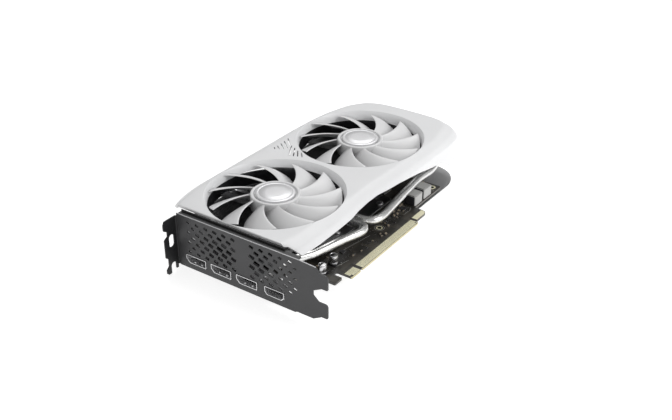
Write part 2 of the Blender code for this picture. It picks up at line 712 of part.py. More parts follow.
def make_bracket(finish, datum):
    openings = [displayport_outline(y, GAP) for y in DISPLAYPORT_Y]
    openings.append(hdmi_outline(HDMI_Y, GAP))
    openings.extend(vent_slots())
    face = plate(bracket_outline(), 0, BRACKET_THICKNESS, "YZ", holes=openings)
    flange = plate(flange_outline(), FLANGE_TOP - BRACKET_THICKNESS, FLANGE_TOP, "XZ",
                   holes=[stadium(SCREW_LINE, SCREW_SLOT_CENTRE, 9.4, SCREW_SLOT_WIDTH)])
    tabs = [box((0.4, y - 2.6, GAP), (9.5, y + 2.6, GAP + BRACKET_THICKNESS)) for y in BRACKET_TABS_Y]
    add("bracket", joined(face, flange, several(tabs)), finish["black_steel"], datum)
    steel = finish["socket_steel"]
    for index, y in enumerate(DISPLAYPORT_Y, 1):
        add(f"displayport_{index}", socket_solid(displayport_outline, y, 5.8), steel, datum)
    add("hdmi_port", socket_solid(hdmi_outline, HDMI_Y, 5.4), steel, datum)


# ---------------------------------------------------------------- backplate and fasteners

def make_backplate(finish, datum):
    low = 12.2
    outline = rounded([(4.0, 30.0, 2), (30.0, 30.0, 4), (36.0, low + 2, 3), (150.0, low, 2),
                       (BACKPLATE_TAIL, low, 23.0), (BACKPLATE_TAIL, 119.0, 12.0), (4.0, 119.0, 3)], 5)
    window = rectangle(70.0, 42.0, 117.0, 89.0, 4)
    vents = [stadium(193.0 + 5.5 * index, 72.0, 60.0, 2.6, 2) for index in range(4)]
    add("backplate", plate(outline, BACKPLATE_TOP - BACKPLATE_THICKNESS, BACKPLATE_TOP,
                           holes=[window, *vents]), finish["backplate_metal"], datum)
    frame = rounded([(72, 44, 3), (115, 44, 3), (115, 87, 3), (72, 87, 3)])
    add("retention_frame", plate(frame, BACKPLATE_TOP - BACKPLATE_THICKNESS, -BOARD_THICKNESS - GAP,
                                 holes=[rectangle(80, 52, 107, 79, 3)]), finish["screw_steel"], datum)


def screw(x, y, seat, head_radius=2.4):
    """Pan-head screw hanging from a seat level, head downwards."""
    return turned([(0, seat - 1.3), (head_radius * 0.7, seat - 1.3), (head_radius, seat - 0.7),
                   (head_radius, seat), (0, seat)], 12, x, y)


def make_fasteners(finish, datum):
    under = BACKPLATE_TOP - BACKPLATE_THICKNESS - GAP
    places = [(12, 100), (60, 22), (180, 24), (176, 106)]
    for index, (x, y) in enumerate(places, 1):
        add(f"backplate_screw_{index}", screw(x, y, under), finish["screw_steel"], datum, smooth=True)
    for index, (x, y) in enumerate(((76, 48), (111, 48), (111, 83), (76, 83)), 1):
        add(f"spring_screw_{index}", screw(x, y, under, 2.8), finish["screw_steel"], datum, smooth=True)
    for index, y in enumerate(BRACKET_TABS_Y, 1):
        seat = 2 * GAP + BRACKET_THICKNESS
        head = turned([(0, seat), (2.3, seat), (2.3, seat + 0.8), (1.6, seat + 1.5), (0, seat + 1.5)],
                      12, 5.6, y)
        add(f"bracket_screw_{index}", head, finish["screw_steel"], datum, smooth=True)
    for index, (x, y) in enumerate(((130.0, 32.0), (80.0, 34.5)), 1):
        head = turned([(0, 4.9), (2.6, 4.9), (2.6, 5.6), (2.0, 6.3), (0, 6.3)], 12, x, y)
        add(f"plate_screw_{index}", head, finish["screw_steel"], datum, smooth=True)


def make_leads(finish, datum):
    """Fan leads, down from each carrier's arm and along the far side to the header on the board."""
    add("fan_header", box((140.0, 105.6, GAP), (151.0, 110.6, 4.8)), finish["black_plastic"], datum)
    lane = FIN_FAR_Y + 3.2
    arm_tip = FAN_Y + 46.0
    under_arm = MOUNT_BOTTOM - 0.6
    rear_x = FAN_FRONT_X + FAN_PITCH
    rear = [(rear_x, arm_tip, under_arm), (rear_x, lane, 16), (rear_x - 1, lane, 9), (152, lane, 4.5),
            (148.4, 113.4, 2.6), (148.4, 111.4, 2.6)]
    front = [(FAN_FRONT_X, arm_tip, under_arm), (FAN_FRONT_X + 2, lane, 15), (66, lane, 10),
             (86, lane, 8), (110, lane, 7.6), (130, lane, 6.5), (138, lane, 4.0), (143.0, 113.4, 2.6),
             (143.6, 111.4, 2.6)]
    add("fan_lead_rear", tube(rear, 1.0, 6, 4.0), finish["cable"], datum, smooth=True)
    add("fan_lead_front", tube(front, 1.0, 6, 4.0), finish["cable"], datum, smooth=True)


def build():
    for item in list(bpy.data.objects):
        bpy.data.objects.remove(item, do_unlink=True)
    datum = empty("card_datum", None, ORIGIN)
    finish = make_materials()
    make_shroud(finish, datum)
    for which, x in fan_centres():
        make_fan(which, x, finish, datum)
    make_cooler(finish, datum)
    make_board(finish, datum)
    make_bracket(finish, datum)
    make_backplate(finish, datum)
    make_fasteners(finish, datum)
    make_leads(finish, datum)


build()
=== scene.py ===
"""Looks of the dual-fan graphics card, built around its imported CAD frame.

Shapes are written in millimetres from the card's datum: X from the outer face of the bracket to the
tail, Y from the bottom edge of the slot contacts to the top edge of the card, Z from the component
side of the board to the fans. TO_WORLD moves them into the frame, in metres.
"""

import math
import random

import bmesh
import bpy
from mathutils import Matrix, Vector


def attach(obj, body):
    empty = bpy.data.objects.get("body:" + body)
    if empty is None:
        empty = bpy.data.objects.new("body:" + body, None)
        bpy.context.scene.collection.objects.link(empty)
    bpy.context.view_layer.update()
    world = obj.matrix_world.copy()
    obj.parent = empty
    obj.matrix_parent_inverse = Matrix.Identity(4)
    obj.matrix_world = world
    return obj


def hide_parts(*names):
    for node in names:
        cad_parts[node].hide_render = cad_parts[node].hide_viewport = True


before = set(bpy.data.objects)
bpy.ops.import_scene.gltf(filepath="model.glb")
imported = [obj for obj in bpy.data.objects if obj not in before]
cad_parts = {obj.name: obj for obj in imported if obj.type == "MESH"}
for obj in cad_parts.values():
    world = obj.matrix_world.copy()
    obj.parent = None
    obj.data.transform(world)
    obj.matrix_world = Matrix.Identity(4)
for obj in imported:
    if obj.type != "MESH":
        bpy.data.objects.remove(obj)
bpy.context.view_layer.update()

MM = 0.001
ORIGIN = Vector((-106.535, -54.595, 7.0))
TO_WORLD = Matrix.Scale(MM, 4) @ Matrix.Translation(ORIGIN)

SHROUD_TOP = 36.5
SHROUD_FRONT = 7.0
SHROUD_MIDDLE_Y = 67.9
FAN_PLACES = {"front": (56.2, 67.6), "rear": (158.2, 67.6)}
BLADES = 11
BLADE_TIP_RADIUS = 44.3
BLADE_START = math.radians(-4.3)
HUB_RADIUS = 16.9
HUB_TOP = 36.3
HUB_BOTTOM = 25.2
MOUNT_TOP = 22.0
MOUNT_BOTTOM = 20.0
DUCT_RADIUS = 45.4
DUCT_BOTTOM = 29.6
RING_INNER = 45.6
RING_OUTER = 47.2
BRACKET_THICKNESS = 0.86
BRACKET_INSIDE = 0.8
BRACKET_LOW = -3.6
BRACKET_HIGH = 35.14
TONGUE_TIP = -14.01
FLANGE_TOP = 106.01
FLANGE_OUTER = -11.43
TOP_FOLD_REACH = 4.4
TAB_PLACES = (36.6, 102.0)
SOCKET_Z = 3.9
DISPLAYPORT_Y = (89.6, 68.7, 47.8)
HDMI_Y = 26.0

# Vent slots: pitch along the bracket and between rows, and (low y, high y, middle y) of both groups
VENT_PITCH = 7.35
VENT_ROW_PITCH = 3.65
VENT_TOP_ROW = 31.3
VENT_MIDDLE_Z = 19.5
VENT_GROUPS = [(57.0, 96.0, 68.0), (9.0, 44.5, 38.0)]

BOARD_THICKNESS = 1.57
BOARD_HOLE = (108.4, 18.3)
TAIL_HOLE = (180.6, 17.4)
PIPE_RADIUS = 3.0
PIPE_Z = 12.0
FIN_TOP = 19.4
FIN_BOTTOM = 5.6
UPPER_FIN_BOTTOM = 15.7
FIN_NEAR_Y = 41.2
FIN_FAR_Y = 113.4


# ---------------------------------------------------------------- materials

class Nodes:
    """Shorthand for building a material's node tree."""

    def __init__(self, name, stretch=(1, 1, 1)):
        self.material = bpy.data.materials.new(name)
        self.material.use_nodes = True
        self.tree = self.material.node_tree
        self.shader = self.tree.nodes["Principled BSDF"]
        place = self.tree.nodes.new("ShaderNodeTexCoord")
        mapping = self.tree.nodes.new("ShaderNodeMapping")
        mapping.inputs["Scale"].default_value = stretch
        self.tree.links.new(place.outputs["Object"], mapping.inputs["Vector"])
        self.place = mapping.outputs["Vector"]

    def add(self, kind, settings=(), **sockets):
        node = self.tree.nodes.new(kind)
        for key, value in dict(settings).items():
            setattr(node, key, value)
        for key, value in sockets.items():
            self.put(node.inputs[key.replace("_", " ")], value)
        return node

    def put(self, socket, value):
        if isinstance(value, bpy.types.NodeSocket):
            self.tree.links.new(value, socket)
        else:
            socket.default_value = value

    def noise(self, scale, detail=3.0, roughness=0.55, place=None):
        node = self.add("ShaderNodeTexNoise", Scale=scale, Detail=detail, Roughness=roughness)
        self.put(node.inputs["Vector"], place or self.place)
        return node.outputs["Fac"]

    def spread(self, value, low, high, start=0.3, end=0.7):
        node = self.add("ShaderNodeMapRange", Value=value)
        for socket, number in (("From Min", start), ("From Max", end), ("To Min", low), ("To Max", high)):
            node.inputs[socket].default_value = number
        return node.outputs["Result"]

    def mix(self, factor, first, second):
        node = self.add("ShaderNodeMix", {"data_type": "RGBA"})
        self.put(node.inputs[0], factor)
        self.put(node.inputs[6], (*first, 1.0) if isinstance(first, tuple) else first)
        self.put(node.inputs[7], (*second, 1.0) if isinstance(second, tuple) else second)
        return node.outputs[2]

    def maths(self, operation, first, second=0.0):
        node = self.add("ShaderNodeMath", {"operation": operation})
        self.put(node.inputs[0], first)
        self.put(node.inputs[1], second)
        return node.outputs[0]

    def bump(self, height, strength, distance):
        node = self.add("ShaderNodeBump", Strength=strength, Distance=distance * MM, Height=height)
        self.put(self.shader.inputs["Normal"], node.outputs["Normal"])

    def finish(self, colour, roughness, metallic=0.0, coat=0.0):
        self.put(self.shader.inputs["Base Color"], colour)
        self.put(self.shader.inputs["Roughness"], roughness)
        self.shader.inputs["Metallic"].default_value = metallic
        self.shader.inputs["Coat Weight"].default_value = coat
        self.shader.inputs["Coat Roughness"].default_value = 0.25
        return self.material


def shade(colour, factor):
    return tuple(min(1.0, channel * factor) for channel in colour)


def grained(name, colour, roughness, metallic=0.0, spread=0.04, grain=2600, patch=45, depth=0.02,
            stretch=(1, 1, 1), vary=0.06, coat=0.0, strength=0.3):
    """Moulded, cast or painted surface: broad tone, fine grain in roughness and bump."""
    n = Nodes(name, stretch)
    fine = n.noise(grain, 2.0)
    broad = n.noise(patch, 3.0)
    tone = n.mix(n.spread(broad, 0, 1), shade(colour, 1 - spread), shade(colour, 1 + spread))
    n.bump(fine, strength, depth)
    return n.finish(tone, n.spread(fine, roughness - vary, roughness + vary), metallic, coat)


def speckled(name, colour, speck, roughness, scale, share=0.4, metallic=0.0):
    """Pressed powder or epoxy: specks of a second colour through the first."""
    n = Nodes(name)
    cells = n.add("ShaderNodeTexVoronoi", Vector=n.place, Scale=scale).outputs["Distance"]
    fine = n.noise(scale * 2, 2.0)
    tone = n.mix(n.spread(fine, 0, 1, 1 - share - 0.15, 1 - share + 0.15), colour, speck)
    n.bump(cells, 0.35, 0.05)
    return n.finish(tone, n.spread(fine, roughness - 0.08, roughness + 0.08), metallic)


def spun(name, colour, roughness, middle):
    """Metal turned about a Z axis: fine rings, with a faint sweep of tone across them."""
    n = Nodes(name)
    shift = n.add("ShaderNodeVectorMath", {"operation": "SUBTRACT"})
    n.put(shift.inputs[0], n.place)
    shift.inputs[1].default_value = middle
    flat = n.add("ShaderNodeVectorMath", {"operation": "MULTIPLY"})
    n.put(flat.inputs[0], shift.outputs[0])
    flat.inputs[1].default_value = (1, 1, 0)
    length = n.add("ShaderNodeVectorMath", {"operation": "LENGTH"})
    n.put(length.inputs[0], flat.outputs[0])
    rings = n.add("ShaderNodeTexNoise", {"noise_dimensions": "1D"}, W=length.outputs["Value"],
                  Scale=6000.0, Detail=3.0).outputs["Fac"]
    tone = n.mix(n.spread(rings, 0, 1), shade(colour, 0.94), shade(colour, 1.05))
    n.bump(rings, 0.25, 0.02)
    return n.finish(tone, n.spread(rings, roughness - 0.05, roughness + 0.08), 0.55)


def solder_mask():
    """Dark lacquer over copper: faint tracks and fill areas under a smooth coat."""
    n = Nodes("solder_mask")
    fill = n.add("ShaderNodeTexVoronoi", {"distance": "CHEBYCHEV"}, Vector=n.place, Scale=95.0)
    weave = n.noise(1800, 2.0)
    tracks = n.spread(fill.outputs["Distance"], 0, 1, 0.38, 0.46)
    copper = n.mix(tracks, (0.025, 0.024, 0.021), (0.056, 0.050, 0.040))
    tone = n.mix(n.spread(weave, 0.0, 0.3), copper, (0.072, 0.065, 0.051))
    n.bump(n.maths("ADD", tracks, n.maths("MULTIPLY", weave, 0.4)), 0.25, 0.03)
    return n.finish(tone, n.spread(weave, 0.34, 0.5), 0.0, 0.25)


def laminate_edge():
    """Cut edge of the glass laminate, in thin layers."""
    n = Nodes("laminate_edge", (0.2, 0.2, 3.0))
    layers = n.noise(1400, 2.0)
    tone = n.mix(n.spread(layers, 0, 1), (0.50, 0.45, 0.26), (0.68, 0.62, 0.40))
    n.bump(layers, 0.2, 0.03)
    return n.finish(tone, 0.55)


def make_finishes():
    """Every finish by its short name."""
    white = (0.790, 0.793, 0.800)
    made = {
        "shroud": grained("shroud_white", white, 0.40, spread=0.012, grain=3200, depth=0.012, coat=0.1),
        "fan": grained("fan_light_grey", (0.745, 0.745, 0.750), 0.36, spread=0.015, grain=2800,
                       depth=0.01, coat=0.15),
        "carrier": grained("carrier_grey", (0.16, 0.16, 0.165), 0.5, spread=0.1),
        "nickel": grained("nickel_plate", (0.78, 0.78, 0.77), 0.30, 1.0, 0.03, grain=900, patch=120,
                          depth=0.02, stretch=(0.15, 1, 1), vary=0.05, strength=0.15),
        # fins: painted shade, the aluminium made dark to stand in for the shade over the fin stacks under the
        # shroud
        "fins": grained("aluminium_painted_shade", (0.20, 0.20, 0.205), 0.42, 1.0, 0.10, grain=1500, patch=250,
                        stretch=(1, 1, 0.2)),
        "plate": grained("milled_aluminium", (0.34, 0.34, 0.35), 0.40, 1.0, 0.08, grain=1800,
                         patch=90, stretch=(0.3, 1, 1)),
        "bracket": grained("bracket_powder", (0.050, 0.050, 0.052), 0.46, 0.2, 0.07, grain=2600,
                           patch=60, depth=0.05),
        # fold: painted shade, the bracket powder made darker for the flange, its bend and the upstand, which
        # sit in shade
        "fold": grained("fold_painted_shade", (0.010, 0.010, 0.011), 0.5, 0.2, 0.07, grain=2600, patch=60,
                        depth=0.05),
        # rim: painted highlight, a lighter grey standing in for the light that falls on the bracket's top
        # edge from above
        "rim": grained("sheet_edge_painted_highlight", (0.42, 0.42, 0.43), 0.4, 0.3, 0.07, grain=2600, patch=60),
        "steel": grained("zinc_steel", (0.58, 0.58, 0.59), 0.30, 1.0, 0.08, grain=1700, patch=300),
        "socket": grained("tinned_steel", (0.88, 0.88, 0.89), 0.30, 0.8, 0.06, grain=1500, patch=200,
                          stretch=(0.3, 1, 1)),
        "mask": solder_mask(),
        "edge": laminate_edge(),
        "gold": grained("contact_gold", (0.98, 0.93, 0.66), 0.36, 0.15, 0.03, grain=2200, patch=300,
                        depth=0.005),
        "ink": grained("legend_ink", (0.42, 0.42, 0.40), 0.6, spread=0.12, grain=3000),
        "solder": grained("solder", (0.62, 0.62, 0.62), 0.28, 1.0, 0.10, grain=1800, patch=500),
        "ceramic": grained("capacitor_ceramic", (0.46, 0.38, 0.28), 0.42, spread=0.15, patch=500),
        "resistor": grained("resistor_body", (0.03, 0.03, 0.035), 0.35, spread=0.2, patch=400),
        "nylon": grained("black_nylon", (0.018, 0.018, 0.020), 0.42, spread=0.2, grain=2200),
        "epoxy": speckled("chip_epoxy", (0.030, 0.030, 0.032), (0.050, 0.050, 0.052), 0.42, 3500),
        "choke": speckled("choke_powder", (0.40, 0.40, 0.39), (0.52, 0.52, 0.51), 0.55, 2200),
        "can": grained("can_aluminium", (0.72, 0.72, 0.73), 0.26, 1.0, 0.05, grain=2400, patch=200),
        "winding": grained("winding_wire", (0.62, 0.30, 0.17), 0.32, 0.8, 0.2, grain=1400, patch=700,
                           stretch=(1, 1, 0.15), depth=0.1),
        "magnet": speckled("bonded_magnet", (0.06, 0.06, 0.065), (0.12, 0.12, 0.125), 0.6, 2500),
        "backplate": grained("backplate_satin", (0.40, 0.40, 0.405), 0.40, 0.75, 0.06, grain=1900,
                             patch=70, stretch=(0.12, 1, 1)),
        "backplate_edge": grained("backplate_edge", (0.045, 0.045, 0.047), 0.45, 0.3, 0.1),
        "cable": grained("lead_sleeve", (0.022, 0.022, 0.024), 0.38, spread=0.2, grain=1500),
        "substrate": speckled("package_laminate", (0.020, 0.045, 0.026), (0.03, 0.06, 0.035), 0.4, 1800),
    }
    for which, (x, y) in FAN_PLACES.items():
        middle = tuple(TO_WORLD @ Vector((x, y, HUB_TOP)))
        made[f"cap_{which}"] = spun(f"cap_satin_{which}", (0.72, 0.72, 0.73), 0.36, middle)
    return made


FINISHES = make_finishes()


# ---------------------------------------------------------------- outlines

def rounded(corners, steps=4):
    """Closed outline through (x, y, radius) corners, each corner turned by an arc."""
    outline = []
    for index, (x, y, radius) in enumerate(corners):
        corner = Vector((x, y))
        if radius <= 0:
            outline.append(corner)
            continue
        back = (Vector(corners[index - 1][:2]) - corner).normalized()
        ahead = (Vector(corners[(index + 1) % len(corners)][:2]) - corner).normalized()
        half_angle = back.angle(ahead) / 2
        centre = corner + (back + ahead).normalized() * radius / math.sin(half_angle)
        start = corner + back * radius / math.tan(half_angle) - centre
        end = corner + ahead * radius / math.tan(half_angle) - centre
        for step in range(steps + 1):
            outline.append(centre + radius * start.slerp(end, step / steps))
    return outline


def rectangle(x0, y0, x1, y1, radius=0.0, steps=4):
    return rounded([(x0, y0, radius), (x1, y0, radius), (x1, y1, radius), (x0, y1, radius)], steps)


def oval(x, y, reach_x, reach_y, segments=64):
    turn = 2 * math.pi / segments
    return [Vector((x + reach_x * math.cos(i * turn), y + reach_y * math.sin(i * turn)))
            for i in range(segments)]


def slot_between(start, end, width, steps=5):
    """Outline of a round-ended slot from one point to another."""
    first, second = Vector(start), Vector(end)
    heading = math.atan2(second.y - first.y, second.x - first.x)
    outline = []
    for centre, turn in ((second, heading - math.pi / 2), (first, heading + math.pi / 2)):
        for step in range(steps + 1):
            angle = turn + math.pi * step / steps
            outline.append(centre + Vector((math.cos(angle), math.sin(angle))) * width / 2)
    return outline


def curve_through(points, steps):
    """Catmull-Rom points on an open curve, the same number between each pair of given points."""
    knots = [2 * points[0] - points[1], *points, 2 * points[-1] - points[-2]]
    fine = []
    for a, b, c, d in zip(knots, knots[1:], knots[2:], knots[3:]):
        for step in range(steps):
            t = step / steps
            fine.append(0.5 * (2 * b + (c - a) * t + (2 * a - 5 * b + 4 * c - d) * t * t
                               + (3 * b - a - 3 * c + d) * t ** 3))
    fine.append(knots[-2])
    return fine


def smooth_route(route, spacing):
    """Points at an even spacing on a smooth curve through the route."""
    fine = curve_through([Vector(point) for point in route], 24)
    path = [fine[0]]
    for point in fine[1:]:
        if (point - path[-1]).length >= spacing:
            path.append(point)
    path[-1] = fine[-1]
    return path


# ---------------------------------------------------------------- solids

PLANES = {
    "XY": lambda a, b, depth: Vector((a, b, depth)),
    "YZ": lambda a, b, depth: Vector((depth, a, b)),
    "XZ": lambda a, b, depth: Vector((a, depth, b)),
}


def plate(outline, low, high, plane="XY", holes=()):
    """Prism between two levels of a plane, with holes right through it."""
    bm = bmesh.new()
    place = PLANES[plane]
    for loop in (outline, *holes):
        verts = [bm.verts.new(place(point[0], point[1], low)) for point in loop]
        for index, vert in enumerate(verts):
            bm.edges.new((verts[index - 1], vert))
    bmesh.ops.triangle_fill(bm, use_beauty=True, use_dissolve=False, edges=bm.edges)
    pushed = bmesh.ops.extrude_face_region(bm, geom=bm.faces)["geom"]
    shift = place(0, 0, high) - place(0, 0, low)
    raised = [item for item in pushed if isinstance(item, bmesh.types.BMVert)]
    bmesh.ops.translate(bm, vec=shift, verts=raised)
    bmesh.ops.recalc_face_normals(bm, faces=bm.faces)
    return bm


def box(low, high):
    return plate(rectangle(low[0], low[1], high[0], high[1]), low[2], high[2])


def turned(profile, segments, x=0.0, y=0.0):
    """Solid of revolution about a Z axis; the profile is a closed loop of (radius, z)."""
    bm = bmesh.new()
    rings = []
    for radius, z in profile:
        if radius < 1e-6:
            rings.append([bm.verts.new((x, y, z))])
        else:
            rings.append([bm.verts.new((*point, z)) for point in oval(x, y, radius, radius, segments)])
    for index, ring in enumerate(rings):
        before = rings[index - 1]
        for step in range(segments):
            corners = [before[step % len(before)], before[(step + 1) % len(before)],
                       ring[(step + 1) % len(ring)], ring[step % len(ring)]]
            unique = list(dict.fromkeys(corners))
            if len(unique) > 2:
                bm.faces.new(unique)
    bmesh.ops.recalc_face_normals(bm, faces=bm.faces)
    return bm


def loft(rings):
    """Closed solid through rings of equal length, capped at both ends."""
    bm = bmesh.new()
    made = [[bm.verts.new(point) for point in ring] for ring in rings]
    for low, high in zip(made, made[1:]):
        for index in range(len(low)):
            bm.faces.new((low[index - 1], low[index], high[index], high[index - 1]))
    bm.faces.new(made[0])
    bm.faces.new(made[-1])
    bmesh.ops.recalc_face_normals(bm, faces=bm.faces)
    return bm


def tube(route, radius, sides=24, spacing=1.2, round_ends=True):
    """Round bar along a smooth curve, with its ends drawn in to a blunt nose."""
    path = smooth_route(route, spacing)
    rings = []
    across = Vector((0, 0, 1))
    for index, point in enumerate(path):
        ahead = path[min(index + 1, len(path) - 1)] - path[max(index - 1, 0)]
        ahead.normalize()
        across = (across - ahead * across.dot(ahead)).normalized()
        other = ahead.cross(across)
        near_end = min(index, len(path) - 1 - index) * spacing
        size = radius
        if round_ends and near_end < radius:
            size = radius * math.sqrt(max(0.08, 1 - (1 - near_end / radius) ** 2))
        rings.append([point + size * (across * math.cos(turn) + other * math.sin(turn))
                      for turn in (2 * math.pi * side / sides for side in range(sides))])
    return loft(rings)


def joined(*parts):
    """One mesh from several; the parts are used up."""
    made = bmesh.new()
    scratch = bpy.data.meshes.new("scratch")
    for part in parts:
        part.to_mesh(scratch)
        part.free()
        made.from_mesh(scratch)
    bpy.data.meshes.remove(scratch)
    return made


def cut(base, *tools):
    """Takes the tools out of the base one after another; all of them are used up."""
    for tool in tools:
        made = []
        for bm in (base, tool):
            mesh = bpy.data.meshes.new("scratch")
            bm.to_mesh(mesh)
            bm.free()
            item = bpy.data.objects.new("scratch", mesh)
            bpy.context.scene.collection.objects.link(item)
            made.append(item)
        modifier = made[0].modifiers.new("cut", "BOOLEAN")
        modifier.operation = "DIFFERENCE"
        modifier.solver = "EXACT"
        modifier.object = made[1]
        bpy.context.view_layer.update()
        graph = bpy.context.evaluated_depsgraph_get()
        base = bmesh.new()
        base.from_mesh(made[0].evaluated_get(graph).to_mesh())
        for item in made:
            mesh = item.data
            bpy.data.objects.remove(item)
            bpy.data.meshes.remove(mesh)
    return base


def moved(bm, matrix):
    bmesh.ops.transform(bm, matrix=matrix, verts=bm.verts)
    return bm


# ---------------------------------------------------------------- pieces

def piece(name, bm, finish, body="card", nodes=(), angle=32, bevel=0.0, bevel_angle=40, extra=()):
    """A shown piece from a mesh in card millimetres; finish and extra are names in FINISHES."""
    mesh = bpy.data.meshes.new(name)
    bm.to_mesh(mesh)
    bm.free()
    mesh.transform(TO_WORLD)
    obj = bpy.data.objects.new(name, mesh)
    bpy.context.scene.collection.objects.link(obj)
    for item in (finish, *extra):
        mesh.materials.append(FINISHES[item])
    for face in mesh.polygons:
        face.use_smooth = True
    mesh.set_sharp_from_angle(angle=math.radians(angle))
    if bevel:
        rounding = obj.modifiers.new("rounded_edges", "BEVEL")
        rounding.width = bevel * MM
        rounding.segments = 2
        rounding.limit_method = "ANGLE"
        rounding.angle_limit = math.radians(bevel_angle)
        rounding.harden_normals = True
        rounding.use_clamp_overlap = True
    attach(obj, body)
    if nodes:
        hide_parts(*nodes)
    return obj


# ---------------------------------------------------------------- shroud

# (x, foot, lower crease, upper crease) as distances from the middle line, near side from front to tail
NEAR_SIDE = [(7.0, 50.0, 47.0, 42.8), (10.4, 54.6, 51.0, 43.5), (20.0, 55.2, 52.6, 44.9),
             (38.0, 55.3, 52.9, 45.4), (58.0, 55.3, 52.8, 46.0), (79.0, 55.3, 51.6, 45.9),
             (100.0, 55.3, 51.2, 45.4), (118.0, 55.3, 52.4, 45.8), (140.0, 55.3, 53.0, 46.8),
             (163.0, 55.3, 53.4, 47.6), (184.0, 55.2, 53.0, 47.4), (202.0, 54.4, 51.2, 43.6)]
FAR_SIDE = [(7.0, 43.8, 42.8, 41.2), (13.0, 49.6, 47.6, 43.2), (35.0, 54.7, 51.8, 46.0),
            (70.0, 54.9, 52.0, 46.4), (110.0, 54.9, 52.0, 46.4), (150.0, 54.7, 52.0, 46.2),
            (180.0, 53.5, 50.0, 43.8), (202.0, 48.5, 45.0, 38.4)]
# (foot, lower crease, upper crease) as (x, y from the middle) points round the tail
TAIL = [((214.5, -51.6), (213.0, -48.6), (210.5, -41.4)), ((222.0, -44.0), (219.8, -42.0), (216.5, -36.5)),
        ((224.1, -32.0), (222.6, -31.0), (220.0, -28.5)), ((224.3, -12.0), (223.2, -12.0), (221.2, -12.0)),
        ((224.2, 8.0), (223.0, 8.0), (221.0, 7.5)), ((223.2, 24.0), (221.6, 22.8), (219.4, 20.5)),
        ((219.6, 36.0), (217.8, 34.0), (215.0, 29.8)), ((212.0, 43.6), (210.4, 40.8), (208.4, 35.0))]
# Heights of the foot, the lower crease and the upper crease
LEVELS = (29.5, 33.4, SHROUD_TOP)

# Lower edge of the shroud as (x, z), from the tail to the front, the same on both sides
LOWER_EDGE = [(191.0, 8.0), (198.6, 11.9), (184.5, 20.0), (168.0, 22.9), (153.0, 25.8), (139.0, 28.0),
              (125.0, 29.8), (111.0, 30.6), (99.0, 31.4), (87.0, 31.4), (75.0, 30.9), (65.0, 29.8),
              (51.0, 29.3), (30.0, 28.9), (12.0, 29.8), (8.8, 34.9), (-1.0, 34.9)]

# Ends of the slits between the fans, as (x, y)
SLITS = [((108.9, 109.5), (107.1, 107.4)), ((112.0, 109.0), (108.8, 104.6)),
         ((116.4, 109.0), (110.6, 102.2)), ((120.9, 109.5), (113.5, 100.9)),
         ((126.0, 109.8), (119.0, 103.0)), ((118.2, 100.6), (111.3, 96.9)), ((111.3, 96.9), (104.6, 92.6)),
         ((116.3, 96.5), (105.7, 89.8)), ((113.9, 92.0), (106.9, 87.0)), ((112.8, 87.9), (107.7, 83.6))]


def shroud_control(column, inset):
    """Control points of one outline: near side, tail, then the far side back to the front."""
    near = [Vector((max(row[0], SHROUD_FRONT + inset), -row[column + 1] + inset)) for row in NEAR_SIDE]
    tail = []
    for row in TAIL:
        x, y = row[column]
        inward = Vector((140.0 - x, -y)).normalized() * inset
        tail.append(Vector((x, y)) + inward)
    far = [Vector((max(row[0], SHROUD_FRONT + inset), row[column + 1] - inset)) for row in reversed(FAR_SIDE)]
    return [Vector((p.x, SHROUD_MIDDLE_Y + p.y)) for p in (*near, *tail, *far)]


def shroud_block(inset, bottom, rounding):
    """Solid of the shroud's outer shape, or of its cavity when inset, with rounded creases."""
    outlines = [curve_through(shroud_control(column, inset), 6) for column in range(3)]
    levels = [level - inset * (0.6 if index < 2 else 1.0) for index, level in enumerate(LEVELS)]
    foot, low, high = [[Vector((p.x, p.y, level)) for p in outline]
                       for outline, level in zip(outlines, levels)]
    middle = [Vector((min(max(p.x, 40.0), 185.0), SHROUD_MIDDLE_Y, levels[2])) for p in high]
    rings = [[Vector((p.x, p.y, bottom)) for p in foot]]
    below = rings[0]
    for ring, above, reach in ((foot, low, 0.8), (low, high, 1.6), (high, middle, 2.0)):
        if rounding:
            for step in range(5):
                t = step / 4
                rings.append([p + (a - p).normalized() * reach * (1 - t) ** 2
                              + (b - p).normalized() * reach * t ** 2
                              for a, p, b in zip(below, ring, above)])
        else:
            rings.append(ring)
        below = ring
    return loft(rings)


def funnel(x, y):
    """Space inside a fan opening: a straight duct that flares into a wide soft lip."""
    levels = [(17.4, DUCT_RADIUS, DUCT_RADIUS), (30.6, DUCT_RADIUS, DUCT_RADIUS), (32.2, 45.55, 45.5),
              (33.4, 45.95, 45.7), (34.4, 46.55, 45.95), (35.2, 47.25, 46.2), (35.8, 47.95, 46.4),
              (36.2, 48.45, 46.6), (36.55, 48.85, 46.8), (60.0, 48.85, 46.8)]
    return loft([[Vector((p.x, p.y, z)) for p in oval(x, y, rx, ry, 160)] for z, rx, ry in levels])


def make_shroud():
    cavity = shroud_block(2.0, 9.0, False)
    for x, y in FAN_PLACES.values():
        cavity = cut(cavity, turned([(0, DUCT_BOTTOM), (RING_OUTER, DUCT_BOTTOM), (RING_OUTER, 60), (0, 60)],
                                    96, x, y))
    body = cut(shroud_block(0.0, 13.0, True), cavity)
    for x, y in FAN_PLACES.values():
        body = cut(body, funnel(x, y))
    edge = [*LOWER_EDGE[1:], (-1.0, 8.0), (191.0, 8.0)]
    body = cut(body, plate(edge, -5, 130, "XZ"))
    slits = [plate(slot_between(a, b, 0.95), 31, 40) for a, b in SLITS]
    body = cut(body, *slits)
    piece("shroud_shell", body, "shroud", nodes=["shroud"], angle=24,
          bevel=0.35, bevel_angle=42)


# ---------------------------------------------------------------- fans

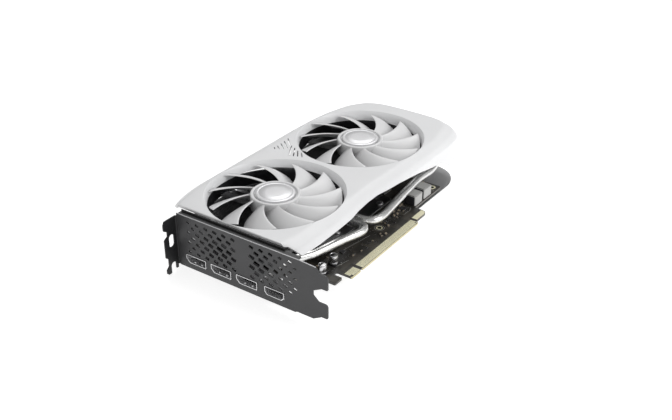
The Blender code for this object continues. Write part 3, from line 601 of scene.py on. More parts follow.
def blade(first_angle):
    """One swept blade with a rounded section; its upper edge leads and its lower edge trails."""
    spans = 18
    around = 20
    rings = []
    for i in range(spans + 1):
        part = i / spans
        radius = HUB_RADIUS - 0.8 + part * (BLADE_TIP_RADIUS - HUB_RADIUS + 0.8)
        chord = math.radians(36.0 - 10.0 * part)
        depth = 9.6 - 0.6 * part
        thick = 1.5 - 0.5 * part + 1.6 * math.exp(-part * 16)
        if i == spans:
            thick *= 0.55
        ring = []
        for j in range(around):
            turn = 2 * math.pi * j / around
            along = 0.5 - 0.5 * math.cos(turn)
            side = math.copysign(abs(math.sin(turn)) ** 0.6, math.sin(turn)) * (1.0 - 0.45 * along)
            angle = first_angle + math.radians(27.0 * part ** 0.9) - chord * along
            fall = depth * (along * 0.5 + 0.5 * along * along)
            lift = 0.5 * thick * side * (1 if abs(math.sin(turn)) > 1e-6 else 0)
            ring.append(Vector((radius * math.cos(angle), radius * math.sin(angle), 35.0 - fall + lift)))
        rings.append(ring)
    return loft(rings)


def rotor_mesh():
    wall_top = [(HUB_RADIUS - 0.05 - 0.9 * (1 - math.cos(t)), HUB_TOP - 0.9 + 0.9 * math.sin(t))
                for t in (math.pi / 2 * k / 5 for k in range(6))]
    hub = turned([(0, HUB_TOP - 1.5), (14.3, HUB_TOP - 1.5), (14.5, HUB_TOP - 1.3), (14.6, HUB_TOP - 0.5),
                  (14.9, HUB_TOP - 0.1), (15.3, HUB_TOP), *reversed(wall_top),
                  (HUB_RADIUS, HUB_BOTTOM + 0.4), (HUB_RADIUS - 0.4, HUB_BOTTOM),
                  (HUB_RADIUS - 1.6, HUB_BOTTOM), (HUB_RADIUS - 1.6, HUB_TOP - 2.9), (0, HUB_TOP - 2.9)], 96)
    turn = 2 * math.pi / BLADES
    return joined(hub, *(blade(BLADE_START + turn * index) for index in range(BLADES)))


def cap_mesh():
    """Satin disc with a fine edge step and a shallow ring near its rim."""
    top = HUB_TOP + 0.55
    return turned([(0, HUB_TOP - 1.4), (13.3, HUB_TOP - 1.4), (13.35, HUB_TOP - 0.1), (13.2, HUB_TOP + 0.25),
                   (12.8, HUB_TOP + 0.42), (11.5, top), (11.3, top - 0.12), (11.0, top - 0.12),
                   (10.8, top + 0.03), (6.0, top + 0.18), (0, top + 0.25)], 96)


def carrier_mesh():
    """Grooved ring below the duct, three ribbed arms, a dished middle and the bearing tube."""
    parts = [turned([(1.9, MOUNT_BOTTOM), (15.2, MOUNT_BOTTOM), (15.6, MOUNT_BOTTOM + 0.4),
                     (15.6, MOUNT_TOP - 0.2), (15.2, MOUNT_TOP), (14.2, MOUNT_TOP), (14.0, MOUNT_TOP - 0.6),
                     (4.6, MOUNT_TOP - 0.6), (4.0, MOUNT_TOP), (4.0, HUB_TOP - 4.2),
                     (1.9, HUB_TOP - 4.2)], 48),
             turned([(RING_INNER, MOUNT_BOTTOM), (RING_OUTER, MOUNT_BOTTOM), (RING_OUTER, 24.4), (47.0, 24.6),
                     (47.0, 25.0), (RING_OUTER, 25.2), (RING_OUTER, DUCT_BOTTOM - 0.02),
                     (RING_INNER, DUCT_BOTTOM - 0.02)], 96)]
    for index in range(3):
        arm = joined(plate(rectangle(13.0, -3.2, 46.0, 3.2, 0.5), MOUNT_BOTTOM + 0.2, MOUNT_TOP - 0.6),
                     plate(rectangle(13.0, -3.1, 45.9, -2.3, 0.3), MOUNT_TOP - 0.6, MOUNT_TOP - 0.15),
                     plate(rectangle(13.0, 2.3, 45.9, 3.1, 0.3), MOUNT_TOP - 0.6, MOUNT_TOP - 0.15))
        for side in arm.faces:
            side.material_index = 1
        parts.append(moved(arm, Matrix.Rotation(math.radians(90 + 120 * index), 4, "Z")))
    return joined(*parts)


def stator_mesh():
    """Four steel poles, each wound with layers of wire."""
    parts = [turned([(4.3, HUB_BOTTOM - 0.8), (6.4, HUB_BOTTOM - 0.8), (6.4, HUB_TOP - 4.2),
                     (4.3, HUB_TOP - 4.2)], 32)]
    for pole in range(4):
        turns = [box((6.5, -3.0, HUB_BOTTOM - 0.6 + 0.62 * k), (10.0, 3.0, HUB_BOTTOM - 0.15 + 0.62 * k))
                 for k in range(12)]
        shoe = plate(rounded([(10.2, -5.4, 0.4), (11.2, -5.8, 0.6), (12.0, 0, 8), (11.2, 5.8, 0.6),
                              (10.2, 5.4, 0.4)]), HUB_BOTTOM - 0.4, HUB_TOP - 4.4)
        parts.append(moved(joined(shoe, *turns), Matrix.Rotation(math.pi / 2 * pole, 4, "Z")))
    return joined(*parts)


def make_fans():
    for which, (x, y) in FAN_PLACES.items():
        shift = Matrix.Translation((x, y, 0))
        body = f"fan_{which}"
        piece(f"rotor_{which}", moved(rotor_mesh(), shift), "fan", body,
              [f"fan_rotor_{which}"], angle=50)
        piece(f"cap_{which}", moved(cap_mesh(), shift), f"cap_{which}", body,
              [f"fan_cap_{which}"], angle=40)
        magnet = turned([(12.7, HUB_BOTTOM + 0.3), (15.0, HUB_BOTTOM + 0.3), (15.0, HUB_TOP - 3.3),
                         (12.7, HUB_TOP - 3.3)], 64, x, y)
        piece(f"magnet_{which}", magnet, "magnet", body, [f"fan_magnet_{which}"],
              bevel=0.2)
        shaft = turned([(0, MOUNT_BOTTOM + 0.3), (1.2, MOUNT_BOTTOM + 0.3), (1.5, MOUNT_BOTTOM + 0.6),
                        (1.5, HUB_TOP - 3.3), (0, HUB_TOP - 3.3)], 32, x, y)
        piece(f"shaft_{which}", shaft, "steel", body, [f"fan_shaft_{which}"])
        piece(f"stator_{which}", moved(stator_mesh(), shift), "winding", "card",
              [f"fan_stator_{which}"])
        piece(f"carrier_{which}", moved(carrier_mesh(), shift), "nylon", "card",
              [f"fan_mount_{which}"], bevel=0.15, extra=["carrier"])


# ---------------------------------------------------------------- cooler

FRONT_PIPE = [(14, 36), (24, 34.0), (33, 29.0), (41.4, 25.0), (53.8, 22.0), (66.5, 18.9), (76.6, 15.9),
              (82.5, 15.2), (86.2, 17.2), (87.3, 22.5), (86.8, 30), (86.5, 82)]
REAR_PIPE = [(202, 34), (197.5, 25.5), (184.6, 21.4), (168, 21.8), (152.3, 20.3), (135.5, 18.4),
             (118.2, 16.0), (105.7, 14.8), (98.5, 16.2), (95.2, 19.8), (94.1, 25), (93.8, 34), (94, 82)]


def fin(x, near_y, far_y, low, high):
    """One thin sheet with its top and bottom edges folded over towards the next fin."""
    sheet = [(x, low), (x + 1.1, low), (x + 1.1, low + 0.2), (x + 0.2, low + 0.2), (x + 0.2, high - 0.2),
             (x + 1.1, high - 0.2), (x + 1.1, high), (x, high)]
    return plate([Vector(point) for point in sheet], near_y, far_y, "XZ")


def fin_bank(start, end, stretches):
    """Fins from start to end; each stretch is (x0, x1, near y, far y, lowest z)."""
    parts = []
    count = int((end - start) / 1.45)
    for index in range(count):
        x = start + index * 1.45
        near_y, far_y, low = next(s[2:] for s in stretches if s[0] <= x < s[1])
        parts.append(fin(x, near_y, far_y, low, FIN_TOP))
    return joined(*parts)


def make_cooler():
    """Fins in three stacks, two pipes, the cold plate and the plate over the memory chips."""
    front = fin_bank(8.0, 68.5, [(0, 11.5, 33.0, 110.5, UPPER_FIN_BOTTOM),
                                 (11.5, 17.6, 33.0, FIN_FAR_Y, UPPER_FIN_BOTTOM),
                                 (17.6, 69, FIN_NEAR_Y, FIN_FAR_Y, FIN_BOTTOM)])
    web_outline = ((17.5, 35.0), (40.0, 33.0), (46.0, 27.0), (68.3, 27.0), (68.3, FIN_NEAR_Y),
                   (17.5, FIN_NEAR_Y))
    web = plate(web_outline, UPPER_FIN_BOTTOM, FIN_TOP - 0.05)
    centre = fin_bank(70.4, 115.0, [(0, 200, 42.0, FIN_FAR_Y, UPPER_FIN_BOTTOM)])
    rear = joined(fin_bank(117.0, 208.0, [(0, 149.5, FIN_NEAR_Y, FIN_FAR_Y, FIN_BOTTOM),
                                          (149.5, 177.5, FIN_NEAR_Y, 92.8, FIN_BOTTOM),
                                          (177.5, 210, FIN_NEAR_Y, FIN_FAR_Y, FIN_BOTTOM)]),
                  fin_bank(117.0, 208.0, [(0, 210, 27.0, 41.0, UPPER_FIN_BOTTOM)]),
                  fin_bank(149.5, 177.4, [(0, 210, 93.0, FIN_FAR_Y, UPPER_FIN_BOTTOM)]))
    for name, bank in (("front", joined(front, web)), ("centre", centre), ("rear", rear)):
        piece(f"fins_{name}", bank, "fins", nodes=[f"fin_stack_{name}"])
    for name, route in (("front", FRONT_PIPE), ("rear", REAR_PIPE)):
        bar = tube([(x, y, PIPE_Z) for x, y in route], PIPE_RADIUS)
        piece(f"heat_pipe_bar_{name}", bar, "nickel", nodes=[f"heat_pipe_{name}"], angle=60)
    base = plate(rectangle(75.5, 45, 113.0, 86.0, 1.5), 2.2, PIPE_Z - PIPE_RADIUS - 0.3)
    piece("cold_plate_block", base, "nickel", nodes=["cold_plate"], bevel=0.3)
    window = rectangle(74.0, 43.5, 114.5, 87.5, 1.0)
    spreader = plate(rectangle(58, 28.5, 142, 104, 2), 3.4, 4.6, holes=[window])
    piece("memory_spreader", spreader, "plate", nodes=["memory_plate"], bevel=0.2)


# ---------------------------------------------------------------- board

def board_outline():
    edge = 0.8
    return rounded([
        (3.0, 22.0, 0), (34.5, 22.0, 1.0), (34.5, 4.6, 1.0), (42.8, 4.6, 1.0), (42.8, 11.7, 1.0),
        (46.7, 11.7, 1.0), (46.7, 0, edge), (57.5, 0, edge), (57.5, 8.0, 0), (59.4, 8.0, 0),
        (59.4, 0, edge), (130.5, 0, edge), (130.5, 8.0, 0), (132.6, 8.0, 0), (132.6, 2.2, 0.6),
        (147.0, 2.2, 4.0), (147.0, 12.4, 1.5), (185.5, 12.4, 2.0), (185.5, 111.15, 2.0), (3.0, 111.15, 1.0),
    ], 4)


def make_board():
    holes = [oval(*BOARD_HOLE, 1.6, 1.6, 32), oval(*TAIL_HOLE, 1.5, 1.5, 32), oval(12, 100, 1.3, 1.3, 24)]
    board = plate(board_outline(), -BOARD_THICKNESS, 0, holes=holes)
    for face in board.faces:
        face.normal_update()
        middle = face.calc_center_median()
        tab_edge = middle.y < 1.0 and abs(face.normal.z) < 0.5
        face.material_index = 1 if tab_edge else 0
    piece("board_panel", board, "mask", nodes=["circuit_board"], extra=["edge"])
    make_contacts()
    make_tracks()
    make_small_parts()


def make_contacts():
    """Gold fingers on both sides of the tab, and the plated hook and hole rings."""
    parts = []
    for side_low, side_high in ((0.0, 0.05), (-BOARD_THICKNESS - 0.05, -BOARD_THICKNESS)):
        for index in range(83):
            x = 47.25 + index
            if 56.6 < x < 59.6 or x > 129.8:
                continue
            short = 1.6 if index in (0, 1, 81) else 0.0
            parts.append(plate(rectangle(x, 0.3 + short, x + 0.78, 6.2, 0.12, 2), side_low, side_high))
        parts.append(plate(rounded([(133.0, 2.5, 0.4), (146.6, 2.5, 3.6), (146.6, 6.9, 0.5),
                                    (133.0, 6.9, 0.5)]), side_low, side_high))
    for x, y, hole, ring in ((*BOARD_HOLE, 1.6, 2.3), (*TAIL_HOLE, 1.5, 2.7)):
        parts.append(plate(oval(x, y, ring, ring, 40), 0, 0.05, holes=[oval(x, y, hole, hole, 40)]))
    piece("gold_contacts", joined(*parts), "gold")


def ribbon(points, width, low, high):
    """Thin track along a chain of points."""
    parts = []
    for a, b in zip(points, points[1:]):
        parts.append(plate(slot_between(a, b, width, 3), low, high))
    return parts


def make_tracks():
    """Lane tracks that fan out from the contacts, vias, and a few legend lines."""
    rng = random.Random(7)
    tracks = []
    for index in range(30):
        x = 60.6 + 2.3 * index
        rise = 9.6 + 0.35 * (index % 3)
        lean = -8.0 + 0.4 * index
        tracks += ribbon([(x, 5.8), (x, rise), (x + lean * 0.6, rise + 6.0), (x + lean, 27.5)], 0.22, 0, 0.03)
    for row in range(4):
        y = 12.8 + 0.9 * row
        tracks += ribbon([(48.0, y + 1.5), (60.0, y + 4.2), (92.0, y + 9.2)], 0.2, 0, 0.03)
    piece("copper_tracks", joined(*tracks), "backplate_edge")
    vias = []
    for _ in range(150):
        x, y = rng.uniform(36, 180), rng.uniform(13.5, 27.5)
        if math.dist((x, y), BOARD_HOLE) > 4.5:
            vias.append(turned([(0.18, 0), (0.34, 0), (0.34, 0.04), (0.18, 0.04)], 10, x, y))
    piece("plated_vias", joined(*vias), "solder")
    legend = ribbon([(57.9, 24.9), (96.3, 18.2)], 0.28, 0, 0.04)
    legend += ribbon([(51.0, 15.2), (62.0, 12.8)], 0.25, 0, 0.04)
    legend += ribbon([(116.0, 25.6), (144.0, 25.6), (144.0, 13.8), (134.0, 13.8)], 0.22, 0, 0.04)
    ring_outer, ring_inner = oval(*BOARD_HOLE, 3.6, 3.6, 48), oval(*BOARD_HOLE, 3.35, 3.35, 48)
    legend.append(plate(ring_outer, 0, 0.04, holes=[ring_inner]))
    piece("legend_lines", joined(*legend), "ink")


def make_small_parts():
    """Surface-mount resistors, capacitors and small chips where the board shows past the cooler."""
    rng = random.Random(21)
    bodies = {"ceramic": [], "resistor": [], "epoxy": []}
    ends = []
    taken = [(*BOARD_HOLE, 4.6), (42.0, 18.0, 6.0), (55.0, 18.5, 6.0)]
    zones = [((113, 13.4, 146, 26.5), 70), ((62, 9.5, 104, 13.5), 16), ((20, 23.2, 60, 27.2), 20),
             ((148, 24.0, 183, 28.0), 26), ((174.0, 13.6, 178.0, 24.0), 6)]
    for (x0, y0, x1, y1), count in zones:
        for _ in range(count):
            x, y = rng.uniform(x0, x1), rng.uniform(y0, y1)
            size = rng.choice([(1.0, 0.5, 0.5), (1.6, 0.8, 0.7), (1.6, 0.8, 0.45), (2.0, 1.25, 1.0)])
            if any(math.hypot(x - a, y - b) < r + size[0] * 0.6 for a, b, r in taken):
                continue
            taken.append((x, y, size[0] * 0.62))
            long, wide = (size[0], size[1]) if rng.random() < 0.6 else (size[1], size[0])
            kind = "resistor" if size[2] < 0.6 else "ceramic"
            low, high = (x - long / 2, y - wide / 2, 0.05), (x + long / 2, y + wide / 2, size[2])
            bodies[kind].append(box(low, high))
            for end in (-1, 1):
                along = Vector((long / 2 - 0.12, 0)) if long > wide else Vector((0, wide / 2 - 0.12))
                reach = Vector((0.2, wide / 2 + 0.03)) if long > wide else Vector((long / 2 + 0.03, 0.2))
                middle = Vector((x, y)) + along * end
                ends.append(box((*(middle - reach), 0.02), (*(middle + reach), size[2] + 0.03)))
    for x, y, w, h in ((121.0, 19.5, 4.0, 4.0), (137.5, 16.5, 5.0, 4.2), (66.0, 20.5, 3.2, 2.6)):
        bodies["epoxy"].append(box((x, y, 0.1), (x + w, y + h, 1.0)))
        for k in range(5):
            px = x + 0.45 + k * (w - 0.9) / 4
            ends.append(box((px - 0.15, y - 0.5, 0.02), (px + 0.15, y + h + 0.5, 0.3)))
    piece("ceramic_capacitors", joined(*bodies["ceramic"]), "ceramic", bevel=0.06)
    piece("chip_resistors", joined(*bodies["resistor"]), "resistor", bevel=0.05)
    piece("small_chips", joined(*bodies["epoxy"]), "epoxy", bevel=0.08)
    piece("solder_ends", joined(*ends), "solder", bevel=0.04)


def make_board_parts():
    package = plate(rectangle(76, 48, 111, 83, 0.8), 0.3, 1.1)
    piece("package_laminate", package, "substrate", nodes=["gpu_package"], bevel=0.08)
    die = plate(rectangle(84, 59, 103, 73, 0.3), 1.4, 1.9)
    piece("bare_die", die, "can", nodes=["gpu_die"], bevel=0.05)
    chips = ((62, 34, 10, 14), (62, 56, 10, 14), (62, 78, 10, 14), (80, 91, 14, 10))
    for index, (x, y, w, h) in enumerate(chips, 1):
        chip = joined(plate(rectangle(x, y, x + w, y + h, 0.3), 0.55, 1.4),
                      *(turned([(0, 0.1), (0.25, 0.15), (0.25, 0.5), (0, 0.55)], 8, x + 1 + i * (w - 2) / 6,
                               y + 1 + j * (h - 2) / 6) for i in range(7) for j in range(7)))
        piece(f"memory_package_{index}", chip, "epoxy", nodes=[f"memory_chip_{index}"])
    ends = ["solder", "resistor"]
    for index, x in enumerate((147.8, 160.8), 1):
        piece(f"edge_choke_block_{index}", choke_mesh(x, 13.0, 10.8, 9.5, 8.0), "choke",
              nodes=[f"edge_choke_{index}"], bevel=0.3, extra=ends)
    for index in range(1, 4):
        piece(f"choke_block_{index}", choke_mesh(150, 25.0 + 15.0 * index, 10, 10, 4.9), "choke",
              nodes=[f"choke_{index}"], bevel=0.3, extra=ends)
    for index, (x, y) in enumerate(((39.5, 18.0), (53.0, 18.5)), 1):
        make_can(index, x, y)
    make_connector()


def choke_mesh(x, y, length, width, top):
    """Pressed block with clipped corners, a raised middle and solder tabs at both ends."""
    block = plate(rectangle(x, y, x + length, y + width, 0.9), 0.3, top - 0.5)
    crown = plate(rectangle(x + 0.6, y + 0.6, x + length - 0.6, y + width - 0.6, 0.9), top - 0.5, top - 0.02)
    for part in (block, crown):
        for face in part.faces:
            face.normal_update()
            face.material_index = 2 if abs(face.normal.x) > 0.9 else 0
    tabs = joined(box((x + 0.05, y + 2.2, 0.3), (x + 1.6, y + width - 2.2, 0.75)),
                  box((x + length - 1.6, y + 2.2, 0.3), (x + length - 0.05, y + width - 2.2, 0.75)))
    for face in tabs.faces:
        face.material_index = 1
    return joined(block, crown, tabs)


def make_can(index, x, y):
    """Aluminium can with a rolled lip, a shallow top and a sector of dark ink, on a black base."""
    wall = [(0, 1.2), (2.9, 1.2), (2.9, 1.9), (2.72, 2.1), (2.72, 2.4), (2.9, 2.6), (2.9, 6.5), (2.78, 6.85),
            (2.5, 6.98), (2.35, 6.9), (2.25, 6.75), (0, 6.72)]
    piece(f"can_{index}", turned(wall, 48, x, y), "can", nodes=[f"capacitor_{index}"],
          angle=45)
    base = plate(rounded([(x - 3.1, y - 3.1, 1.2), (x + 3.1, y - 3.1, 0.2), (x + 3.1, y + 3.1, 0.2),
                          (x - 3.1, y + 3.1, 1.2)]), 0.1, 1.2)
    piece(f"can_base_{index}", base, "nylon", bevel=0.1)
    sector = [Vector((x, y + 0.4))] + [Vector((x + 2.2 * math.cos(t), y + 0.2 + 2.0 * math.sin(t)))
                                      for t in (math.pi * k / 10 for k in range(11))]
    piece(f"can_polarity_{index}", plate(sector, 6.72, 6.76), "nylon")


def make_connector():
    """Eight-way power socket with a latch rail, its pins, and the small fan header."""
    shell = box((152.0, 96.0, 0.3), (174.4, 110.6, 10.4))
    ways = [(5.1 * column, 4.6 * row) for column in range(4) for row in range(2)]
    wells = [plate(rectangle(153.4 + x, 1.2 + z, 157.2 + x, 5.0 + z, 0.5), 101.5, 115.0, "XZ")
             for x, z in ways]
    shell = cut(shell, *wells)
    latch = box((160.4, 104.0, 10.35), (166.0, 108.4, 10.9))
    piece("power_socket", joined(shell, latch), "nylon", nodes=["power_connector"],
          bevel=0.2)
    pins = [box((154.6 + x, 101.5, 2.4 + z), (156.0 + x, 108.4, 3.8 + z)) for x, z in ways]
    piece("power_pins", joined(*pins), "gold", bevel=0.15)
    header = joined(box((140.0, 105.6, 0.3), (151.0, 110.6, 1.6)),
                    box((140.0, 105.6, 1.6), (151.0, 106.4, 4.8)),
                    box((140.0, 106.4, 1.6), (140.8, 110.6, 4.8)),
                    box((150.2, 106.4, 1.6), (151.0, 110.6, 4.8)),
                    box((140.8, 107.6, 1.6), (150.2, 110.5, 4.6)))
    piece("fan_socket", header, "nylon", nodes=["fan_header"], bevel=0.12)


def make_leads():
    """Each lead is four thin wires twisted gently together."""
    lane = 114.7
    tip = 67.6 + 46.0
    under = MOUNT_BOTTOM - 0.2
    routes = {
        "rear": [(158.2, tip, under), (158.2, lane, 16), (157.2, lane, 9), (152, lane, 4.5),
                 (148.4, 113.4, 2.6), (148.4, 111.4, 2.6)],
        "front": [(56.2, tip, under), (58.2, lane, 15), (66, lane, 10), (86, lane, 8), (110, lane, 7.6),
                  (130, lane, 6.5), (138, lane, 4.0), (143.0, 113.4, 2.6), (143.6, 111.4, 2.6)],
    }
    for which, route in routes.items():
        path = smooth_route(route, 1.5)
        wires = []
        for wire in range(4):
            points = []
            for index, point in enumerate(path):
                turn = math.pi / 2 * wire + index * 0.12
                points.append(point + 0.5 * Vector((math.cos(turn), math.sin(turn) * 0.7, math.sin(turn))))
            wires.append(tube(points, 0.42, 8, 1.5, False))
        piece(f"lead_wires_{which}", joined(*wires), "cable", nodes=[f"fan_lead_{which}"],
              angle=60)


# ---------------------------------------------------------------- bracket and sockets

def displayport_outline(y, grow=0.0):
    half, tall = 8.3 + grow, 3.0 + grow
    return rounded([(y - half, SOCKET_Z - tall, 0.5), (y + half - 2.6, SOCKET_Z - tall, 0.5),
                    (y + half, SOCKET_Z - tall + 2.6, 0.5), (y + half, SOCKET_Z + tall, 0.5),
                    (y - half, SOCKET_Z + tall, 0.5)], 3)


def hdmi_outline(y, grow=0.0):
    half, tall = 7.5 + grow, 2.95 + grow
    return rounded([(y - half, SOCKET_Z - tall + 1.9, 0.5), (y - half + 1.9, SOCKET_Z - tall, 0.5),
                    (y + half - 1.9, SOCKET_Z - tall, 0.5), (y + half, SOCKET_Z - tall + 1.9, 0.5),
                    (y + half, SOCKET_Z + tall, 0.5), (y - half, SOCKET_Z + tall, 0.5)], 3)


def vent_slots():
    """Leaning slots on one staggered lattice, in two groups; they shrink away from each group's middle."""
    slots = []
    for row in range(7):
        z = VENT_TOP_ROW - VENT_ROW_PITCH * row
        for column in range(-3, 10):
            y = HDMI_Y + 2.4 + VENT_PITCH * (column + 0.5 * (row % 2))
            for low_y, high_y, middle_y in VENT_GROUPS:
                if not low_y < y < high_y:
                    continue
                away = min(1.0, math.hypot((y - middle_y) / 30.0, (z - VENT_MIDDLE_Z) / 19.0))
                size = 1.0 - 0.5 * away
                reach, tall, lean, rise = 2.3 * size, 1.4 * size, 0.75 * size, 0.8 * size
                soft = 0.5 * size
                slots.append(rounded([
                    (y - reach + lean, z - rise - tall, soft), (y + reach + lean, z + rise - tall, soft),
                    (y + reach - lean, z + rise + tall, soft), (y - reach - lean, z - rise + tall, soft)], 3))
    return slots


def bracket_outline(top):
    low, high = BRACKET_LOW, BRACKET_HIGH
    first = low + 9.4
    second = first + 20.32
    half = 5.095
    tip = TONGUE_TIP
    return rounded([
        (top, low, 0), (top, high, 0), (6.0, high, 1.0), (-5.2, high - 0.6, 1.0), (-8.2, second + half, 0.8),
        (tip, second + half, 2.0), (tip, second - half, 1.0), (-9.5, second - half, 0.8),
        (-3.3, second - half - 3.4, 1.0), (-3.3, first + half + 3.4, 1.0), (-7.2, first + half, 0.8),
        (tip, first + half, 2.0), (tip, first - half, 1.0), (-9.5, first - half, 0.8),
        (-3.4, low + 0.8, 0.8), (9.0, low + 0.8, 0), (10.2, low, 0)], 4)


def flange_outline():
    outer = FLANGE_OUTER
    left, right = -7.4, -2.8
    return rounded([
        (-0.8, 33.0, 0), (outer + 1.4, 33.0, 0.6), (outer, 30.6, 0.6), (outer, 26.4, 0.6), (-8.4, 24.6, 0.6),
        (-8.4, 21.2, 0.6), (outer, 19.4, 0.6), (outer, 6.2, 0.6), (-9.2, 4.6, 0.6), (-9.2, -1.0, 0.6),
        (outer, -3.0, 0.6), (outer, -5.8, 0.6), (-10.0, -7.0, 0.6), (left, -7.0, 0.5), (left, 0.4, 2.2),
        (right, 0.4, 2.2), (right, -5.6, 0.5), (-0.8, -5.6, 0)], 4)


def make_bracket():
    """Slotted face, flange with its bend, two tabs, and a fold with an upstand along the top edge."""
    inner, outer = BRACKET_INSIDE, BRACKET_INSIDE + BRACKET_THICKNESS
    fold = FLANGE_TOP - outer
    holes = [displayport_outline(y, 0.3) for y in DISPLAYPORT_Y] + [hdmi_outline(HDMI_Y, 0.3)] + vent_slots()
    face = plate(bracket_outline(fold), 0, BRACKET_THICKNESS, "YZ", holes=holes)
    slot = slot_between((-5.1, 14.2), (-5.1, 19.0), 4.6, 10)
    flange = plate(flange_outline(), FLANGE_TOP - BRACKET_THICKNESS, FLANGE_TOP, "XZ", holes=[slot])
    quarter = [math.pi / 16 * k for k in range(9)]
    arc = [Vector((-inner + r * math.cos(t), fold + r * math.sin(t)))
           for r, turns in ((outer, quarter), (inner, reversed(quarter))) for t in turns]
    bend = plate(arc, -3.2, 33.0)
    tabs = [plate(rectangle(0.5, y - 2.6, 9.5, y + 2.6, 0.8), 0.3, 1.16) for y in TAB_PLACES]
    top_fold = plate(rectangle(BRACKET_THICKNESS, 8.0, TOP_FOLD_REACH, fold - 0.6, 0.6), BRACKET_HIGH - 1.0,
                     BRACKET_HIGH - 0.15)
    upstand = plate(rectangle(TOP_FOLD_REACH - 0.7, 20.0, TOP_FOLD_REACH, fold - 1.2, 0.2),
                    BRACKET_HIGH - 0.6, BRACKET_HIGH + 1.4)
    # Material 2, the rim finish, paints the highlight along the top edge of the face
    for side in face.faces:
        if min(v.co.z for v in side.verts) > BRACKET_HIGH - 0.75:
            side.material_index = 2
    # Material 1, the fold finish, is painted shade: a darker copy of the bracket powder on the flange, the
    # bend and the upstand
    for part in (flange, bend, upstand):
        for side in part.faces:
            side.material_index = 1
    piece("bracket_sheet", joined(face, flange, bend, top_fold, upstand, *tabs), "bracket",
          nodes=["bracket"], bevel=0.14, bevel_angle=60, extra=["fold", "rim"])


def socket_insides(name, outline_of, y, tongue_half, contacts):
    """Black insulator with its tongue, and the contacts along it."""
    liner = plate(outline_of(y, -0.75), 4.0, 12.0, "YZ", holes=[outline_of(y, -1.05)])
    back = plate(outline_of(y, -0.55), 11.6, 12.4, "YZ")
    tongue = plate(rectangle(y - tongue_half, SOCKET_Z - 0.2, y + tongue_half, SOCKET_Z + 1.2, 0.3),
                   4.6, 12.0, "YZ")
    piece(f"{name}_insulator", joined(liner, back, tongue), "nylon", bevel=0.1)
    pitch = 2 * (tongue_half - 0.5) / (contacts - 1)
    pads = [box((7.5, y - tongue_half + 0.35 + k * pitch, SOCKET_Z - 0.3),
                (10.5, y - tongue_half + 0.65 + k * pitch, SOCKET_Z - 0.15)) for k in range(contacts)]
    piece(f"{name}_contacts", joined(*pads), "gold")


def make_sockets():
    for index, y in enumerate(DISPLAYPORT_Y, 1):
        shell = plate(displayport_outline(y), -0.5, 15.9, "YZ", holes=[displayport_outline(y, -0.42)])
        floor = SOCKET_Z - 2.58
        bump = [(0, floor - 0.1), (0.85, floor), (0.6, floor + 0.5), (0, floor + 0.65)]
        springs = [turned(bump, 16, 1.6, y + side) for side in (-3.3, 2.6)]
        piece(f"displayport_shell_{index}", joined(shell, *springs), "socket",
              nodes=[f"displayport_{index}"], bevel=0.08)
        socket_insides(f"displayport_{index}", displayport_outline, y, 5.8, 10)
    shell = plate(hdmi_outline(HDMI_Y), -0.5, 15.9, "YZ", holes=[hdmi_outline(HDMI_Y, -0.4)])
    piece("hdmi_shell", shell, "socket", nodes=["hdmi_port"], bevel=0.08)
    socket_insides("hdmi", hdmi_outline, HDMI_Y, 5.4, 10)


# ---------------------------------------------------------------- backplate and screws

def make_backplate():
    low = 12.2
    outline = rounded([(4.0, 30.0, 2), (30.0, 30.0, 4), (36.0, low + 2, 3), (150.0, low, 2),
                       (218.0, low, 23.0), (218.0, 119.0, 12.0), (4.0, 119.0, 3)], 10)
    window = rectangle(70.0, 42.0, 117.0, 89.0, 4)
    vents = [slot_between((193.0 + 5.5 * k, 43.3), (193.0 + 5.5 * k, 100.7), 2.6, 6) for k in range(4)]
    sheet = plate(outline, -3.6, -2.6, holes=[window, *vents])
    for face in sheet.faces:
        face.normal_update()
        face.material_index = 1 if abs(face.normal.z) < 0.5 else 0
    piece("backplate_sheet", sheet, "backplate", nodes=["backplate"], bevel=0.12,
          extra=["backplate_edge"])
    ring = plate(rectangle(72, 44, 115, 87, 3), -3.6, -1.87, holes=[rectangle(80, 52, 107, 79, 3)])
    piece("retention_plate", ring, "steel", nodes=["retention_frame"], bevel=0.25)


def screw_mesh(x, y, seat, head_radius, tall=1.3):
    """Pan head with a cross recess, hanging head downwards from its seat."""
    profile = [(0, seat - tall)] + [
        (head_radius * math.sin(t), seat - 0.35 - (tall - 0.35) * math.cos(t))
        for t in (math.pi / 2 * k / 6 for k in range(2, 7))] + [(head_radius, seat), (0, seat)]
    head = turned(profile, 40, x, y)
    cross = [box((x - 1.3, y - 0.28, seat - tall - 1), (x + 1.3, y + 0.28, seat - tall + 0.65)),
             box((x - 0.28, y - 1.3, seat - tall - 1), (x + 0.28, y + 1.3, seat - tall + 0.65))]
    return cut(head, *cross)


def make_screws():
    """Heads that hang from the backplate, and heads turned over on the tabs and the memory plate."""
    over = Matrix.Scale(-1, 4, (0, 0, 1))
    kinds = [("pan", "backplate", -3.9, 2.4, False, ((12, 100), (60, 22), (180, 24), (176, 106))),
             ("sprung", "spring", -3.9, 2.8, False, ((76, 48), (111, 48), (111, 83), (76, 83))),
             ("tab", "bracket", -1.46, 2.3, True, tuple((5.6, y) for y in TAB_PLACES)),
             ("spreader", "plate", -4.9, 2.6, True, ((130.0, 32.0), (80.0, 34.5)))]
    for name, node, seat, radius, turned_over, places in kinds:
        for index, (x, y) in enumerate(places, 1):
            head = screw_mesh(x, y, seat, radius)
            if turned_over:
                moved(head, over)
                bmesh.ops.reverse_faces(head, faces=head.faces)
            piece(f"{name}_screw_{index}", head, "steel",
                  nodes=[f"{node}_screw_{index}"], angle=30)


# ---------------------------------------------------------------- stage

# (name, place in metres, size, power) of each light
LIGHTS = [("key", (0.75, 0.3, 1.25), 1.0, 8.2), ("near_side", (0.35, -1.5, 0.85), 0.9, 13.6),
          ("end_side", (-1.5, -0.1, 0.5), 0.8, 1.0)]

# Azimuth, elevation and roll in degrees, and the point that the distance is measured from
CAMERA_ANGLES = (-55.475, 29.921, 0.101)
CAMERA_DISTANCE = 672.449
LOOK_AT = Vector((100.0, 60.0, 0.0))


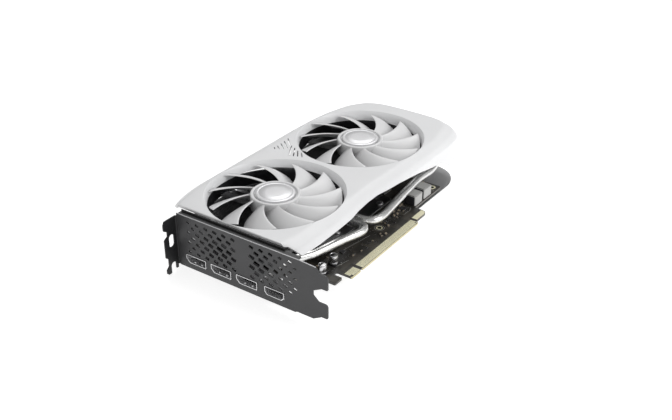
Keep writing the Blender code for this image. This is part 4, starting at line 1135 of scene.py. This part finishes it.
def make_stage():
    """Pale floor that glows a little, an even sky and three soft square lights."""
    floor = bpy.data.objects.new("floor", bpy.data.meshes.new("floor"))
    sheet = bmesh.new()
    bmesh.ops.create_grid(sheet, x_segments=4, y_segments=4, size=6.0)
    sheet.to_mesh(floor.data)
    sheet.free()
    floor.location.z = -0.0004
    n = Nodes("floor_pale")
    soft = n.noise(3.0, 2.0)
    n.finish(n.mix(soft, (0.50, 0.50, 0.50), (0.52, 0.52, 0.52)), 0.8)
    n.shader.inputs["Emission Color"].default_value = (1, 1, 1, 1)
    n.shader.inputs["Emission Strength"].default_value = 0.78
    floor.data.materials.append(n.material)
    bpy.context.scene.collection.objects.link(floor)
    world = bpy.data.worlds.new("studio")
    world.use_nodes = True
    world.node_tree.nodes["Background"].inputs["Color"].default_value = (1, 1, 1, 1)
    world.node_tree.nodes["Background"].inputs["Strength"].default_value = 0.40
    bpy.context.scene.world = world
    for name, place, size, power in LIGHTS:
        data = bpy.data.lights.new(name, "AREA")
        data.shape = "SQUARE"
        data.size = size
        data.energy = power
        light = bpy.data.objects.new(name, data)
        light.location = place
        light.rotation_euler = (-Vector(place)).to_track_quat("-Z", "Y").to_euler()
        bpy.context.scene.collection.objects.link(light)
    view = bpy.context.scene.view_settings
    view.view_transform = "Standard"
    view.look = "None"


def make_camera():
    """Seen from the bracket's corner, thirty degrees above the card."""
    azimuth, elevation, roll = (math.radians(angle) for angle in CAMERA_ANGLES)
    back = Vector((math.sin(azimuth) * math.cos(elevation), -math.cos(azimuth) * math.cos(elevation),
                   math.sin(elevation)))
    level = Vector((math.cos(azimuth), math.sin(azimuth), 0))
    above = back.cross(level)
    right = math.cos(roll) * level + math.sin(roll) * above
    up = math.cos(roll) * above - math.sin(roll) * level
    eye = LOOK_AT + 9.008 * right + 3.984 * up + CAMERA_DISTANCE * back
    data = bpy.data.cameras.new("camera")
    data.sensor_width = 36.0
    data.lens = 50.81
    data.clip_start = 0.01
    data.clip_end = 50.0
    camera = bpy.data.objects.new("camera", data)
    turn = Matrix((right, up, back)).transposed().to_4x4()
    camera.matrix_world = Matrix.Translation((eye + ORIGIN) * MM) @ turn
    bpy.context.scene.collection.objects.link(camera)
    bpy.context.scene.camera = camera


make_shroud()
make_fans()
make_cooler()
make_board()
make_board_parts()
make_leads()
make_bracket()
make_sockets()
make_backplate()
make_screws()
make_stage()
make_camera()
